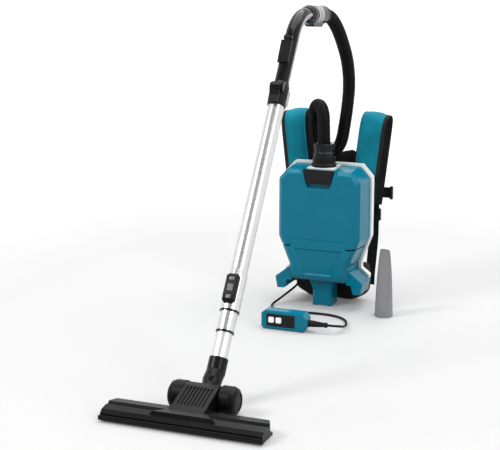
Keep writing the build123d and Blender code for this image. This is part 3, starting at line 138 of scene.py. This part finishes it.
def lofted(name, frames, sections):
    """Capped tube through the frames; sections holds one closed outline of (side, up) pairs per frame."""
    count = len(sections[0])
    verts = [point + side * a + up * b
             for (point, _, side, up), section in zip(frames, sections) for a, b in section]
    faces = []
    for row in range(len(frames) - 1):
        for column in range(count):
            nxt = (column + 1) % count
            faces.append((row * count + column, row * count + nxt,
                          (row + 1) * count + nxt, (row + 1) * count + column))
    faces.append(tuple(reversed(range(count))))
    last = (len(frames) - 1) * count
    faces.append(tuple(range(last, last + count)))
    return mesh_object(name, verts, faces)


def circle(radius, count):
    """Outline of (side, up) pairs."""
    return [(radius * cos(2 * pi * k / count), radius * sin(2 * pi * k / count)) for k in range(count)]


def metres(route):
    """Places in millimetres, as vectors in metres."""
    return [Vector(place) * MM for place in route]


# hose: ribbed tube on the smooth line of its route
hose_line = spline_line(metres(HOSE_ROUTE))
RIB = 4.2 * MM
RIB_DEPTHS = (0.0, 0.35 * MM, 1.5 * MM, 0.35 * MM)
rows = resampled(hose_line, RIB / len(RIB_DEPTHS))
rings = [circle(HOSE_R - depth, 36) for depth in RIB_DEPTHS]
sections = [rings[row % len(rings)] for row in range(len(rows))]
hose = lofted("hose_ribbed", frames_along(rows, (1, 0, 0)), sections)
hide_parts("hose")
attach(hose, "pack")

# controller cable: round tube on the smooth line of its route
cable_line = spline_line(metres(CABLE_ROUTE), 12)
rows = resampled(cable_line, 1.6 * MM)
cable = lofted("controller_lead", frames_along(rows, (1, 0, 0)), [circle(CABLE_R, 16) for _ in rows])
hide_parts("controller_cable")
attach(cable, "pack")


# ---------------------------------------------------------------- materials
def new_material(name):
    """Empty node material, with its tree, its shader and a node for texture coordinates."""
    material = bpy.data.materials.new(name)
    material.use_nodes = True
    tree = material.node_tree
    shader = tree.nodes["Principled BSDF"]
    coords = tree.nodes.new("ShaderNodeTexCoord")
    return material, tree, shader, coords


def noise(tree, coords, scale, detail, stretch=None):
    """Noise in the shared frame; stretch is a turn and one scale per axis, applied before it."""
    texture = tree.nodes.new("ShaderNodeTexNoise")
    texture.inputs["Scale"].default_value = scale
    texture.inputs["Detail"].default_value = detail
    if stretch:
        mapping = tree.nodes.new("ShaderNodeMapping")
        mapping.inputs["Rotation"].default_value = stretch[0]
        mapping.inputs["Scale"].default_value = stretch[1]
        tree.links.new(coords.outputs["Object"], mapping.inputs["Vector"])
        tree.links.new(mapping.outputs["Vector"], texture.inputs["Vector"])
    else:
        tree.links.new(coords.outputs["Object"], texture.inputs["Vector"])
    return texture


def ramp(tree, value, stops):
    """Colour ramp from (position, colour) stops."""
    node = tree.nodes.new("ShaderNodeValToRGB")
    while len(node.color_ramp.elements) < len(stops):
        node.color_ramp.elements.new(0.5)
    for element, (position, colour) in zip(node.color_ramp.elements, stops):
        element.position = position
        element.color = (*colour, 1)
    tree.links.new(value, node.inputs["Fac"])
    return node.outputs["Color"]


def ranged(tree, value, low, high, start=0.0, end=1.0):
    """The value's range from start to end, mapped to low and high."""
    node = tree.nodes.new("ShaderNodeMapRange")
    node.inputs["From Min"].default_value = start
    node.inputs["From Max"].default_value = end
    node.inputs["To Min"].default_value = low
    node.inputs["To Max"].default_value = high
    tree.links.new(value, node.inputs["Value"])
    return node.outputs["Result"]


def bump(tree, shader, height, strength, distance):
    """Relief from a height value, on top of any relief that the shader already has."""
    node = tree.nodes.new("ShaderNodeBump")
    node.inputs["Strength"].default_value = strength
    node.inputs["Distance"].default_value = distance
    tree.links.new(height, node.inputs["Height"])
    if shader.inputs["Normal"].is_linked:
        tree.links.new(shader.inputs["Normal"].links[0].from_socket, node.inputs["Normal"])
    tree.links.new(node.outputs["Normal"], shader.inputs["Normal"])


def shade(colour, factor):
    """The colour made lighter or darker."""
    return tuple(min(1, max(0, channel * factor)) for channel in colour)


GRAIN_SCALE, DRIFT_SCALE = 1400, 14          # fine grain and slow drift of moulded plastic


def moulded(name, colour, rough, coat=0.0, grain=0.15, spread=0.08, gloss=0.12):
    """Moulded plastic: fine grain, slow colour drift and uneven gloss."""
    material, tree, shader, coords = new_material(name)
    slow = noise(tree, coords, DRIFT_SCALE, 4)
    fine = noise(tree, coords, GRAIN_SCALE, 2)
    stops = [(0.3, shade(colour, 1 - spread)), (0.7, shade(colour, 1 + spread))]
    tree.links.new(ramp(tree, slow.outputs["Fac"], stops), shader.inputs["Base Color"])
    tree.links.new(ranged(tree, slow.outputs["Fac"], rough * 0.8, rough * 1.25), shader.inputs["Roughness"])
    bump(tree, shader, fine.outputs["Fac"], grain, 0.0002)
    shader.inputs["Specular IOR Level"].default_value = gloss
    shader.inputs["Coat Weight"].default_value = coat
    shader.inputs["Coat Roughness"].default_value = 0.06
    return material


def metal(name, colour, rough, angles=(0, 0, 0)):
    """Polished or brushed metal with fine draw lines along the turned Z axis."""
    material, tree, shader, coords = new_material(name)
    lines = noise(tree, coords, 60, 3, (angles, (18, 18, 0.4)))
    slow = noise(tree, coords, 9, 3)
    shader.inputs["Metallic"].default_value = 1.0
    stops = [(0.3, shade(colour, 0.93)), (0.7, shade(colour, 1.04))]
    tree.links.new(ramp(tree, slow.outputs["Fac"], stops), shader.inputs["Base Color"])
    tree.links.new(ranged(tree, lines.outputs["Fac"], rough * 0.6, rough * 1.6), shader.inputs["Roughness"])
    bump(tree, shader, lines.outputs["Fac"], 0.06, 0.0001)
    return material


WAVE_PER_PITCH = 0.314          # scale at which the wave texture repeats once per metre


def wave(tree, coords, direction, pitch):
    """Slightly uneven waves across one axis, one pitch apart."""
    texture = tree.nodes.new("ShaderNodeTexWave")
    texture.bands_direction = direction
    texture.inputs["Scale"].default_value = WAVE_PER_PITCH / pitch
    texture.inputs["Distortion"].default_value = 0.6
    texture.inputs["Detail"].default_value = 1.0
    tree.links.new(coords.outputs["Object"], texture.inputs["Vector"])
    return texture.outputs["Fac"]


def mixed(tree, a, b, operation):
    """Two varying values joined by a sum or a product."""
    node = tree.nodes.new("ShaderNodeMath")
    node.operation = operation
    tree.links.new(a, node.inputs[0])
    tree.links.new(b, node.inputs[1])
    return node.outputs["Value"]


def woven(name, colour, pitch, depth=0.0003):
    """Woven cloth: two crossing sets of threads, lighter where they rise: painted light on the crests and
    painted shade in the dips, over a slow random tone.
    """
    material, tree, shader, coords = new_material(name)
    weave = mixed(tree, wave(tree, coords, "X", pitch), wave(tree, coords, "Z", pitch), "ADD")
    half = ranged(tree, weave, 0.0, 0.5)
    slow = noise(tree, coords, 25, 4)
    # painted shade and light: the colour follows the threads' relief, darker in the dips and lighter on the
    # crests, times a slow random tone
    uneven = mixed(tree, half, slow.outputs["Fac"], "MULTIPLY")
    stops = [(0.05, shade(colour, 0.6)), (0.45, shade(colour, 1.25))]
    tree.links.new(ramp(tree, uneven, stops), shader.inputs["Base Color"])
    shader.inputs["Roughness"].default_value = 0.85
    shader.inputs["Specular IOR Level"].default_value = 0.1
    shader.inputs["Sheen Weight"].default_value = 0.08
    shader.inputs["Sheen Roughness"].default_value = 0.4
    bump(tree, shader, weave, 0.7, depth)
    return material


def spacer_mesh(name, colour, cell):
    """Spacer mesh cloth: a soft net of round cells, each with a paler thread knot; painted shade darkens each
    cell's hollow and painted light brightens the raised net.
    """
    material, tree, shader, coords = new_material(name)
    cells = tree.nodes.new("ShaderNodeTexVoronoi")
    cells.inputs["Scale"].default_value = 1 / cell
    cells.inputs["Randomness"].default_value = 0.15
    tree.links.new(coords.outputs["Object"], cells.inputs["Vector"])
    fine = noise(tree, coords, 900, 2)
    # painted shade and light: around each paler knot the hollow is darkened, and the raised net between the
    # cells is lightened
    stops = [(0.06, shade(colour, 9)), (0.2, shade(colour, 0.4)), (0.5, shade(colour, 1.3))]
    tree.links.new(ramp(tree, cells.outputs["Distance"], stops), shader.inputs["Base Color"])
    shader.inputs["Roughness"].default_value = 0.9
    shader.inputs["Specular IOR Level"].default_value = 0.1
    shader.inputs["Sheen Weight"].default_value = 0.06
    bump(tree, shader, cells.outputs["Distance"], 0.8, 0.0012)
    bump(tree, shader, fine.outputs["Fac"], 0.3, 0.0002)
    return material


TEAL = (0.001, 0.131, 0.202)
WAND_TILT = (-WAND_LEAN, 0, 0)
BLACK = (0.004, 0.004, 0.0045)
M = {
    "teal_shell": moulded("teal_shell", TEAL, 0.16, grain=0.04, spread=0.05, gloss=0.16),
    "rim": moulded("rim", (0.66, 0.68, 0.67), 0.4, grain=0.1, spread=0.03, gloss=0.4),
    "black_plastic": moulded("black_plastic", BLACK, 0.28, grain=0.4, spread=0.2, gloss=0.14),
    "black_gloss": moulded("black_gloss", (0.006, 0.006, 0.007), 0.14, grain=0.08, spread=0.2, gloss=0.2),
    "hose_plastic": moulded("hose_plastic", (0.003, 0.003, 0.0033), 0.35, grain=0.3, spread=0.25, gloss=0.07),
    "cable_jacket": moulded("cable_jacket", (0.008, 0.008, 0.009), 0.45, grain=0.3, spread=0.2),
    "chrome": metal("chrome", (0.62, 0.62, 0.63), 0.27, WAND_TILT),
    # bright_tube: the chrome's metal made a little paler, which is painted light, and rougher
    "bright_tube": metal("bright_tube", (0.66, 0.66, 0.67), 0.4, WAND_TILT),
    "silver_plastic": moulded("silver_plastic", (0.24, 0.24, 0.25), 0.25, grain=0.1, spread=0.05, gloss=0.5),
    "steel": metal("steel", (0.55, 0.55, 0.56), 0.3),
    "strap_teal": woven("strap_teal", (0.003, 0.19, 0.265), 0.0012),
    "mesh": spacer_mesh("mesh", (0.012, 0.012, 0.013), 0.0036),
    "webbing": woven("webbing", (0.009, 0.009, 0.01), 0.0011, depth=0.0004),
    "rubber": moulded("rubber", (0.008, 0.008, 0.009), 0.55, grain=0.6, spread=0.2),
    "tyre": moulded("tyre", BLACK, 0.4, grain=0.3, spread=0.2),
    "filter_cloth": woven("filter_cloth", (0.74, 0.72, 0.66), 0.0016),
    "motor_metal": metal("motor_metal", (0.42, 0.36, 0.3), 0.4),
    "board_green": moulded("board_green", (0.03, 0.18, 0.07), 0.4, coat=0.3, spread=0.2),
    "tool_grey": moulded("tool_grey", (0.2, 0.2, 0.205), 0.45, grain=0.4, spread=0.1),
    "button_white": moulded("button_white", (0.82, 0.83, 0.82), 0.3, coat=0.3, grain=0.05, spread=0.02),
    "button_grey": moulded("button_grey", (0.13, 0.13, 0.135), 0.35, coat=0.2, grain=0.1, spread=0.04),
    "piping": woven("piping", (0.008, 0.008, 0.009), 0.0009, depth=0.0002),
    "thread": woven("thread", (0.08, 0.30, 0.36), 0.0006, depth=0.0001),
}


def dress(piece, material):
    """Give a piece one material."""
    piece.data.materials.clear()
    piece.data.materials.append(M[material])


slots = {entry["node"]: entry["material_slot"] for entry in frame["record"]["subparts"]}
# painted shade: the steel axle is given black plastic, so that its ends don't shine in the wheel hubs
slots["nozzle_axle"] = "black_plastic"
for name, node in nodes.items():
    node.data.materials.clear()
    node.data.materials.append(M[slots[name]])
dress(hose, "hose_plastic")
dress(cable, "cable_jacket")

# ---------------------------------------------------------------- harness
STRAP_X, STRAP_LEAN, STRAP_BASE, STRAP_THICK = 81.5, radians(6.6), 300.0, 10.0
STRAP_LINE = [(43.5, 20), (43.5, 80), (43.5, 128), (46, 150), (55, 165), (70, 169.5), (86, 169.5), (99, 164),
              (106.5, 148), (106.5, 100), (106.5, 20), (106.5, -58)]


def strap_frames(side, line):
    """Frames along a strap whose (y, up) line lies in a plane that leans out to its side."""
    lean = side * STRAP_LEAN
    up = Vector((sin(lean), 0, cos(lean)))
    across = Vector((cos(lean), 0, -sin(lean)))
    base = Vector((side * STRAP_X, 0, STRAP_BASE)) * MM
    places = [base + Vector((0, y, 0)) * MM + up * (z * MM) for y, z in line]
    rows = resampled(spline_line(places, 16), 3.0 * MM)
    return frames_along(rows, across)


def edge_tube(frames, offset, radius, name):
    """Thin piping that runs beside the strap's middle at one offset."""
    section = [(offset + a, b) for a, b in circle(radius, 10)]
    return lofted(name, frames, [section for _ in frames])


def stitches(frames, offset, height, name):
    """Row of short raised stitches on the strap's outer face."""
    verts, faces = [], []
    for point, tangent, across, up in frames[2:-2:2]:
        centre = point + across * offset - up * height
        start = len(verts)
        for along, sideways, high in ((-1.0, -0.35, 0), (1.0, -0.35, 0), (1.0, 0.35, 0), (-1.0, 0.35, 0),
                                      (-0.7, 0, 0.4), (0.7, 0, 0.4)):
            verts.append(centre + (tangent * along + across * sideways - up * high) * MM)
        for face in ((0, 1, 5, 4), (2, 3, 4, 5), (1, 2, 5), (3, 0, 4), (3, 2, 1, 0)):
            faces.append(tuple(start + k for k in face))
    return mesh_object(name, verts, faces)


def strap_section(side):
    """Half-outline points (across, height) of a quilted strap: a sewn groove at each edge and a soft crown.

    Outboard of the outer groove the mesh lining shows as a thin band. Heights are a share of half the
    thickness, and the left strap takes the points in reverse, so that both straps face outwards."""
    return [(-27.5, 0.30), (-26, 0.55), (-23.5, 0.52), (-22.4, 0.34), (-21, 0.60), (-17, 0.84), (-10, 0.96),
            (0, 1.0), (10, 0.96), (16, 0.84), (20, 0.60), (21.4, 0.34), (22.5, 0.52), (25.5, 0.55),
            (26.5, 0.26), (27.5, 0.42), (30, 0.46), (33.5, 0.40), (35, 0.20)][::side]


LINED_FROM = 14                 # this point of the section and the ones outboard of it are mesh lining
TAPER_ROWS, TAPER_LEFT = 5, 0.6          # rows over which an end thins, and its thickness there


def wrinkled(point, amount):
    """Small uneven push for slack cloth."""
    return amount * (field(point * 32) + 0.5 * field(point * 75))


for side, word in ((-1, "left"), (1, "right")):
    rows = strap_frames(side, STRAP_LINE)
    half = [(side * a, b) for a, b in strap_section(side)]
    count = len(half)
    turn_back = sum(1 for _, tangent, _, _ in rows if tangent.z > -0.6)
    sections = []
    for index, (point, _, across, _) in enumerate(rows):
        near_end = min(index, len(rows) - 1 - index)
        taper = min(1.0, TAPER_LEFT + (1 - TAPER_LEFT) * near_end / TAPER_ROWS)
        outer, inner = [], []
        for a, b in half:
            slack = wrinkled(point + across * a * MM, 1.3 * MM) * min(1.0, b)
            rise = b * taper * STRAP_THICK / 2 * MM
            outer.append((a * MM, -(rise + slack)))
            inner.append((a * MM, 0.8 * rise))
        sections.append(outer + list(reversed(inner)))
    strap = lofted(f"strap_{word}", rows, sections)
    strap.data.materials.append(M["strap_teal"])
    strap.data.materials.append(M["mesh"])
    ring_size = 2 * count
    lined = range(LINED_FROM, count) if side > 0 else range(0, count - LINED_FROM - 1)
    for polygon in strap.data.polygons:
        row, column = divmod(polygon.index, ring_size)
        teal = column < count - 1 and column not in lined and row < turn_back
        polygon.material_index = 0 if teal else 1
    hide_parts(f"shoulder_strap_{word}")
    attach(strap, "pack")
    for label, offset, radius in (("inner", -27.4, 1.7), ("seam", 26.6, 1.2), ("outer", 34.8, 1.5)):
        binding = edge_tube(rows, side * offset * MM, radius * MM, f"strap_{word}_binding_{label}")
        dress(binding, "piping")
        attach(binding, "pack")
    for label, offset in (("inner", -24.8), ("outer", 24.0)):
        seam = stitches(rows[:turn_back], side * offset * MM, 2.9 * MM, f"strap_{word}_stitches_{label}")
        dress(seam, "thread")
        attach(seam, "pack")

# webbing from each strap down to the waist pad, with ribbed edges
WEB_X, WEB_HALF = 90.0, 12.3
WEB_LINE = [(113.2, 253), (113.2, 220), (113.2, 180), (112.5, 152), (104, 121), (95, 90), (88, 66),
            (85.2, 52), (85.2, 37)]
for side in (-1, 1):
    places = [Vector((side * WEB_X, y, z)) * MM for y, z in WEB_LINE]
    rows = frames_along(resampled(spline_line(places, 12), 2.0 * MM), (1, 0, 0))
    outline = [(-WEB_HALF, 0.35), (-WEB_HALF + 0.8, 0.75), (-WEB_HALF + 3, 0.6), (0, 0.7),
               (WEB_HALF - 3, 0.6), (WEB_HALF - 0.8, 0.75), (WEB_HALF, 0.35)]
    outline = [(a * MM, b * MM) for a, b in outline] + [(a * MM, -b * MM) for a, b in reversed(outline)]
    web = lofted(f"side_web_{'left' if side < 0 else 'right'}", rows, [outline for _ in rows])
    dress(web, "webbing")
    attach(web, "pack")
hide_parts("strap_webbing")


def applied(piece):
    """Turn what a piece's modifiers make into its own mesh."""
    mesh = bpy.data.meshes.new_from_object(piece.evaluated_get(bpy.context.evaluated_depsgraph_get()))
    piece.modifiers.clear()
    piece.data = mesh
    for polygon in mesh.polygons:
        polygon.use_smooth = True


def softened(node_name, name, voxel, rounds):
    """Soft copy of a CAD solid: remeshed and relaxed, so that its edges round over."""
    piece = bpy.data.objects.new(name, nodes[node_name].data.copy())
    bpy.context.scene.collection.objects.link(piece)
    bpy.context.view_layer.objects.active = piece
    remesh = piece.modifiers.new("remesh", "REMESH")
    remesh.mode = "VOXEL"
    remesh.voxel_size = voxel
    relax = piece.modifiers.new("relax", "SMOOTH")
    relax.factor = 0.6
    relax.iterations = rounds
    applied(piece)
    return piece


def swollen(piece, cap, frames=14):
    """Let a pad swell under cloth pressure, with no point moving further than the cap."""
    places = [vertex.co.copy() for vertex in piece.data.vertices]
    cloth = piece.modifiers.new("cloth", "CLOTH")
    cloth.settings.use_pressure = True
    cloth.settings.uniform_pressure_force = 4.0
    cloth.settings.effector_weights.gravity = 0
    cloth.point_cache.frame_end = frames
    for number in range(1, frames + 1):
        bpy.context.scene.frame_set(number)
    applied(piece)
    for vertex, place in zip(piece.data.vertices, places):
        move = vertex.co - place
        if move.length > cap:
            vertex.co = place + move.normalized() * cap
    bpy.context.scene.frame_set(1)


def refined(piece):
    """Subdivide a piece's mesh once."""
    piece.modifiers.new("finer", "SUBSURF").levels = 1
    applied(piece)


def sewn(piece, grooves, width, depth, back):
    """Press sewn channels into the face that looks towards +Y; grooves are (axis, position, low, high)."""
    for vertex in piece.data.vertices:
        if vertex.co.y < back:
            continue
        press = 0.0
        for axis, position, low, high in grooves:
            along = vertex.co[2 - axis]
            if low <= along <= high:
                distance = abs(vertex.co[axis] - position)
                press = max(press, max(0.0, 1 - (distance / width) ** 2))
        vertex.co.y -= press * depth


# back cushion, whose top corners stand up behind the straps
EAR_FROM = 330 * MM
pad = softened("back_pad", "back_cushion", 4.5 * MM, 14)
swollen(pad, 4 * MM)
refined(pad)
for vertex in pad.data.vertices:
    rise = max(0.0, vertex.co.z - EAR_FROM)
    vertex.co.z += rise * (0.15 + 4.5 * abs(vertex.co.x))
sewn(pad, [(0, 0.0, 0.115, 0.345), (2, 0.19, -0.055, 0.055), (2, 0.29, -0.06, 0.06)], 7 * MM, 5 * MM, 70 * MM)
dress(pad, "mesh")
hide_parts("back_pad")
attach(pad, "pack")

# waist cushion, which stands on the floor
waist = softened("waist_pad", "waist_cushion", 4.5 * MM, 10)
swollen(waist, 3.5 * MM)
refined(waist)
for vertex in waist.data.vertices:
    vertex.co.z = max(vertex.co.z, 0.3 * MM)
sewn(waist, [(0, -0.045, 0.012, 0.09), (0, 0.045, 0.012, 0.09)], 6 * MM, 4 * MM, 70 * MM)
dress(waist, "mesh")
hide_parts("waist_pad")
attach(waist, "pack")

# dust bag and prefilter of filter cloth
bag = softened("dust_bag", "cloth_bag", 3.5 * MM, 6)
swollen(bag, 3 * MM)
refined(bag)
normals = [vertex.normal.copy() for vertex in bag.data.vertices]
for vertex, normal in zip(bag.data.vertices, normals):
    vertex.co += normal * wrinkled(vertex.co, 1.2 * MM)
dress(bag, "filter_cloth")
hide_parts("dust_bag")
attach(bag, "pack")

sieve = softened("prefilter", "cloth_prefilter", 3 * MM, 4)
refined(sieve)
dress(sieve, "filter_cloth")
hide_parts("prefilter")
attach(sieve, "pack")

# short-pile strips under the nozzle: an uneven lower face whose rim meets a flat back
PILE_WIDTH, PILE_INSET, PILE_BACK = 6.2 * MM, 3.2 * MM, 1.3 * MM
strip_low, strip_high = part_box("lint_strips")
columns, lines = 240, 8
for label, y in (("front", strip_low.y + PILE_INSET), ("rear", strip_high.y - PILE_INSET)):
    verts, faces = [], []
    for row in range(lines + 1):
        for column in range(columns + 1):
            place = Vector((strip_low.x + (strip_high.x - strip_low.x) * column / columns,
                            y + (row / lines - 0.5) * PILE_WIDTH, 0))
            inside = 0 < row < lines and 0 < column < columns
            place.z = (0.25 + 0.2 * field(place * 1500)) * MM if inside else PILE_BACK
            verts.append(place)
    for row in range(lines):
        for column in range(columns):
            k = row * (columns + 1) + column
            faces.append((k, k + columns + 1, k + columns + 2, k + 1))
    rim = list(range(columns + 1)) + [r * (columns + 1) + columns for r in range(1, lines + 1)]
    rim += [lines * (columns + 1) + k for k in range(columns - 1, -1, -1)]
    rim += [r * (columns + 1) for r in range(lines - 1, 0, -1)]
    faces.append(tuple(rim))
    strip = mesh_object(f"pile_strip_{label}", verts, faces)
    dress(strip, "piping")
    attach(strip, "nozzle")
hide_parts("lint_strips")

# chest belt's loose end: flat webbing and its bar
belt_line = resampled(metres([(90, 113.3, 269), (131, 113.3, 269)]), 1.5 * MM)
belt_rows = frames_along(belt_line, (0, 0, 1))
belt_outline = metres([(-13.3, 0.4), (-12.4, 1.0), (-9, 0.8), (0, 0.9), (9, 0.8), (12.4, 1.0), (13.3, 0.4)])
belt_outline += [(a, -b) for a, b in reversed(belt_outline)]
belt = lofted("chest_belt", belt_rows, [belt_outline for _ in belt_rows])
dress(belt, "webbing")
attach(belt, "pack")
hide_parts("chest_strap")


def rounded_block(name, centre, size, axes, radius):
    """Block with rounded edges; its size is measured along the three given axes."""
    mesh = bmesh.new()
    bmesh.ops.create_cube(mesh, size=1)
    for vertex in mesh.verts:
        vertex.co = Vector(vertex.co[k] * size[k] for k in range(3))
    bmesh.ops.bevel(mesh, geom=mesh.edges[:], offset=radius, segments=3, profile=0.5, affect="EDGES")
    turn = Matrix([list(axis) for axis in axes]).transposed()
    for vertex in mesh.verts:
        vertex.co = turn @ vertex.co + Vector(centre)
    data = bpy.data.meshes.new(name)
    mesh.to_mesh(data)
    mesh.free()
    for polygon in data.polygons:
        polygon.use_smooth = True
    piece = bpy.data.objects.new(name, data)
    bpy.context.scene.collection.objects.link(piece)
    return piece


UPRIGHT = ((1, 0, 0), (0, 1, 0), (0, 0, 1))
bar_centre, bar_size = metres([(133, 113.2, 269), (7.5, 8.5, 33)])
bar = rounded_block("chest_belt_bar", bar_centre, bar_size, UPRIGHT, 1.6 * MM)
dress(bar, "black_gloss")
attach(bar, "pack")

# ---------------------------------------------------------------- small pieces on the wand
ALONG = Vector((0, sin(WAND_LEAN), cos(WAND_LEAN)))
OUTWARD = Vector((0, -cos(WAND_LEAN), sin(WAND_LEAN)))
FOOT = Vector((32, -734.4, 88.0))
for number, (along, outward, width, length) in enumerate(((118.5, 25.4, 10, 8), (156, 25.9, 11, 7)), 1):
    centre = (FOOT + ALONG * along + OUTWARD * outward) * MM
    size = Vector((width, length, 1.2)) * MM
    grip = rounded_block(f"lock_pad_{number}", centre, size, ((1, 0, 0), ALONG, OUTWARD), 0.5 * MM)
    dress(grip, "button_grey")
    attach(grip, "wand")

# ---------------------------------------------------------------- floor and light
# round bowl: a flat floor that sweeps up into a wall on every side
FLAT, SWEEP, WALL, AROUND, GAP = 4.6, 1.4, 7.5, 64, 0.6 * MM
profile = [(FLAT * k / 4, 0) for k in range(1, 5)]
profile += [(FLAT + SWEEP * sin(pi / 2 * k / 10), SWEEP - SWEEP * cos(pi / 2 * k / 10)) for k in range(1, 11)]
profile.append((FLAT + SWEEP, WALL))
verts = [(x, y, height - GAP) for radius, height in profile for x, y in circle(radius, AROUND)]
faces = [tuple(range(AROUND))]
for row in range(len(profile) - 1):
    for k in range(AROUND):
        nxt = (k + 1) % AROUND
        faces.append((row * AROUND + k, (row + 1) * AROUND + k, (row + 1) * AROUND + nxt, row * AROUND + nxt))
floor = mesh_object("floor", verts, faces)
# the paper glows more towards the wall, and less on the side that the polished parts mirror
M["floor"] = moulded("floor", (0.42, 0.42, 0.42), 0.8, grain=0.0, spread=0.01)
floor.data.materials.append(M["floor"])
tree = M["floor"].node_tree
paper = tree.nodes["Principled BSDF"]
coords = tree.nodes.new("ShaderNodeTexCoord")
reach = tree.nodes.new("ShaderNodeVectorMath")
reach.operation = "LENGTH"
tree.links.new(coords.outputs["Object"], reach.inputs[0])
axes = tree.nodes.new("ShaderNodeSeparateXYZ")
tree.links.new(coords.outputs["Object"], axes.inputs[0])
outer = ranged(tree, reach.outputs["Value"], 0.1, 0.8, 0.8, 3.6)
behind = ranged(tree, axes.outputs["Y"], 0.15, 1.0, -2.6, 0.4)
paper.inputs["Emission Color"].default_value = (1, 1, 1, 1)
tree.links.new(mixed(tree, outer, behind, "MULTIPLY"), paper.inputs["Emission Strength"])

world = bpy.data.worlds.new("studio")
bpy.context.scene.world = world
world.use_nodes = True
world.node_tree.nodes["Background"].inputs["Color"].default_value = (1, 1, 1, 1)
world.node_tree.nodes["Background"].inputs["Strength"].default_value = 0.25


def lamp(name, place, target, size, power):
    """Soft rectangular light that faces a target."""
    light = bpy.data.lights.new(name, "AREA")
    light.shape = "RECTANGLE"
    light.size, light.size_y = size
    light.energy = power
    piece = bpy.data.objects.new(name, light)
    piece.location = place
    direction = Vector(target) - Vector(place)
    piece.rotation_euler = direction.to_track_quat("-Z", "Y").to_euler()
    bpy.context.scene.collection.objects.link(piece)


lamp("key", (-2.0, -2.4, 2.4), (0, -0.2, 0.3), (1.0, 1.0), 75)
lamp("fill", (2.6, -1.8, 1.8), (0, -0.2, 0.3), (0.9, 2.2), 45)
lamp("top", (0.2, 0.4, 3.2), (0, -0.2, 0), (3.4, 3.4), 150)
bpy.context.scene.view_settings.view_transform = "Standard"
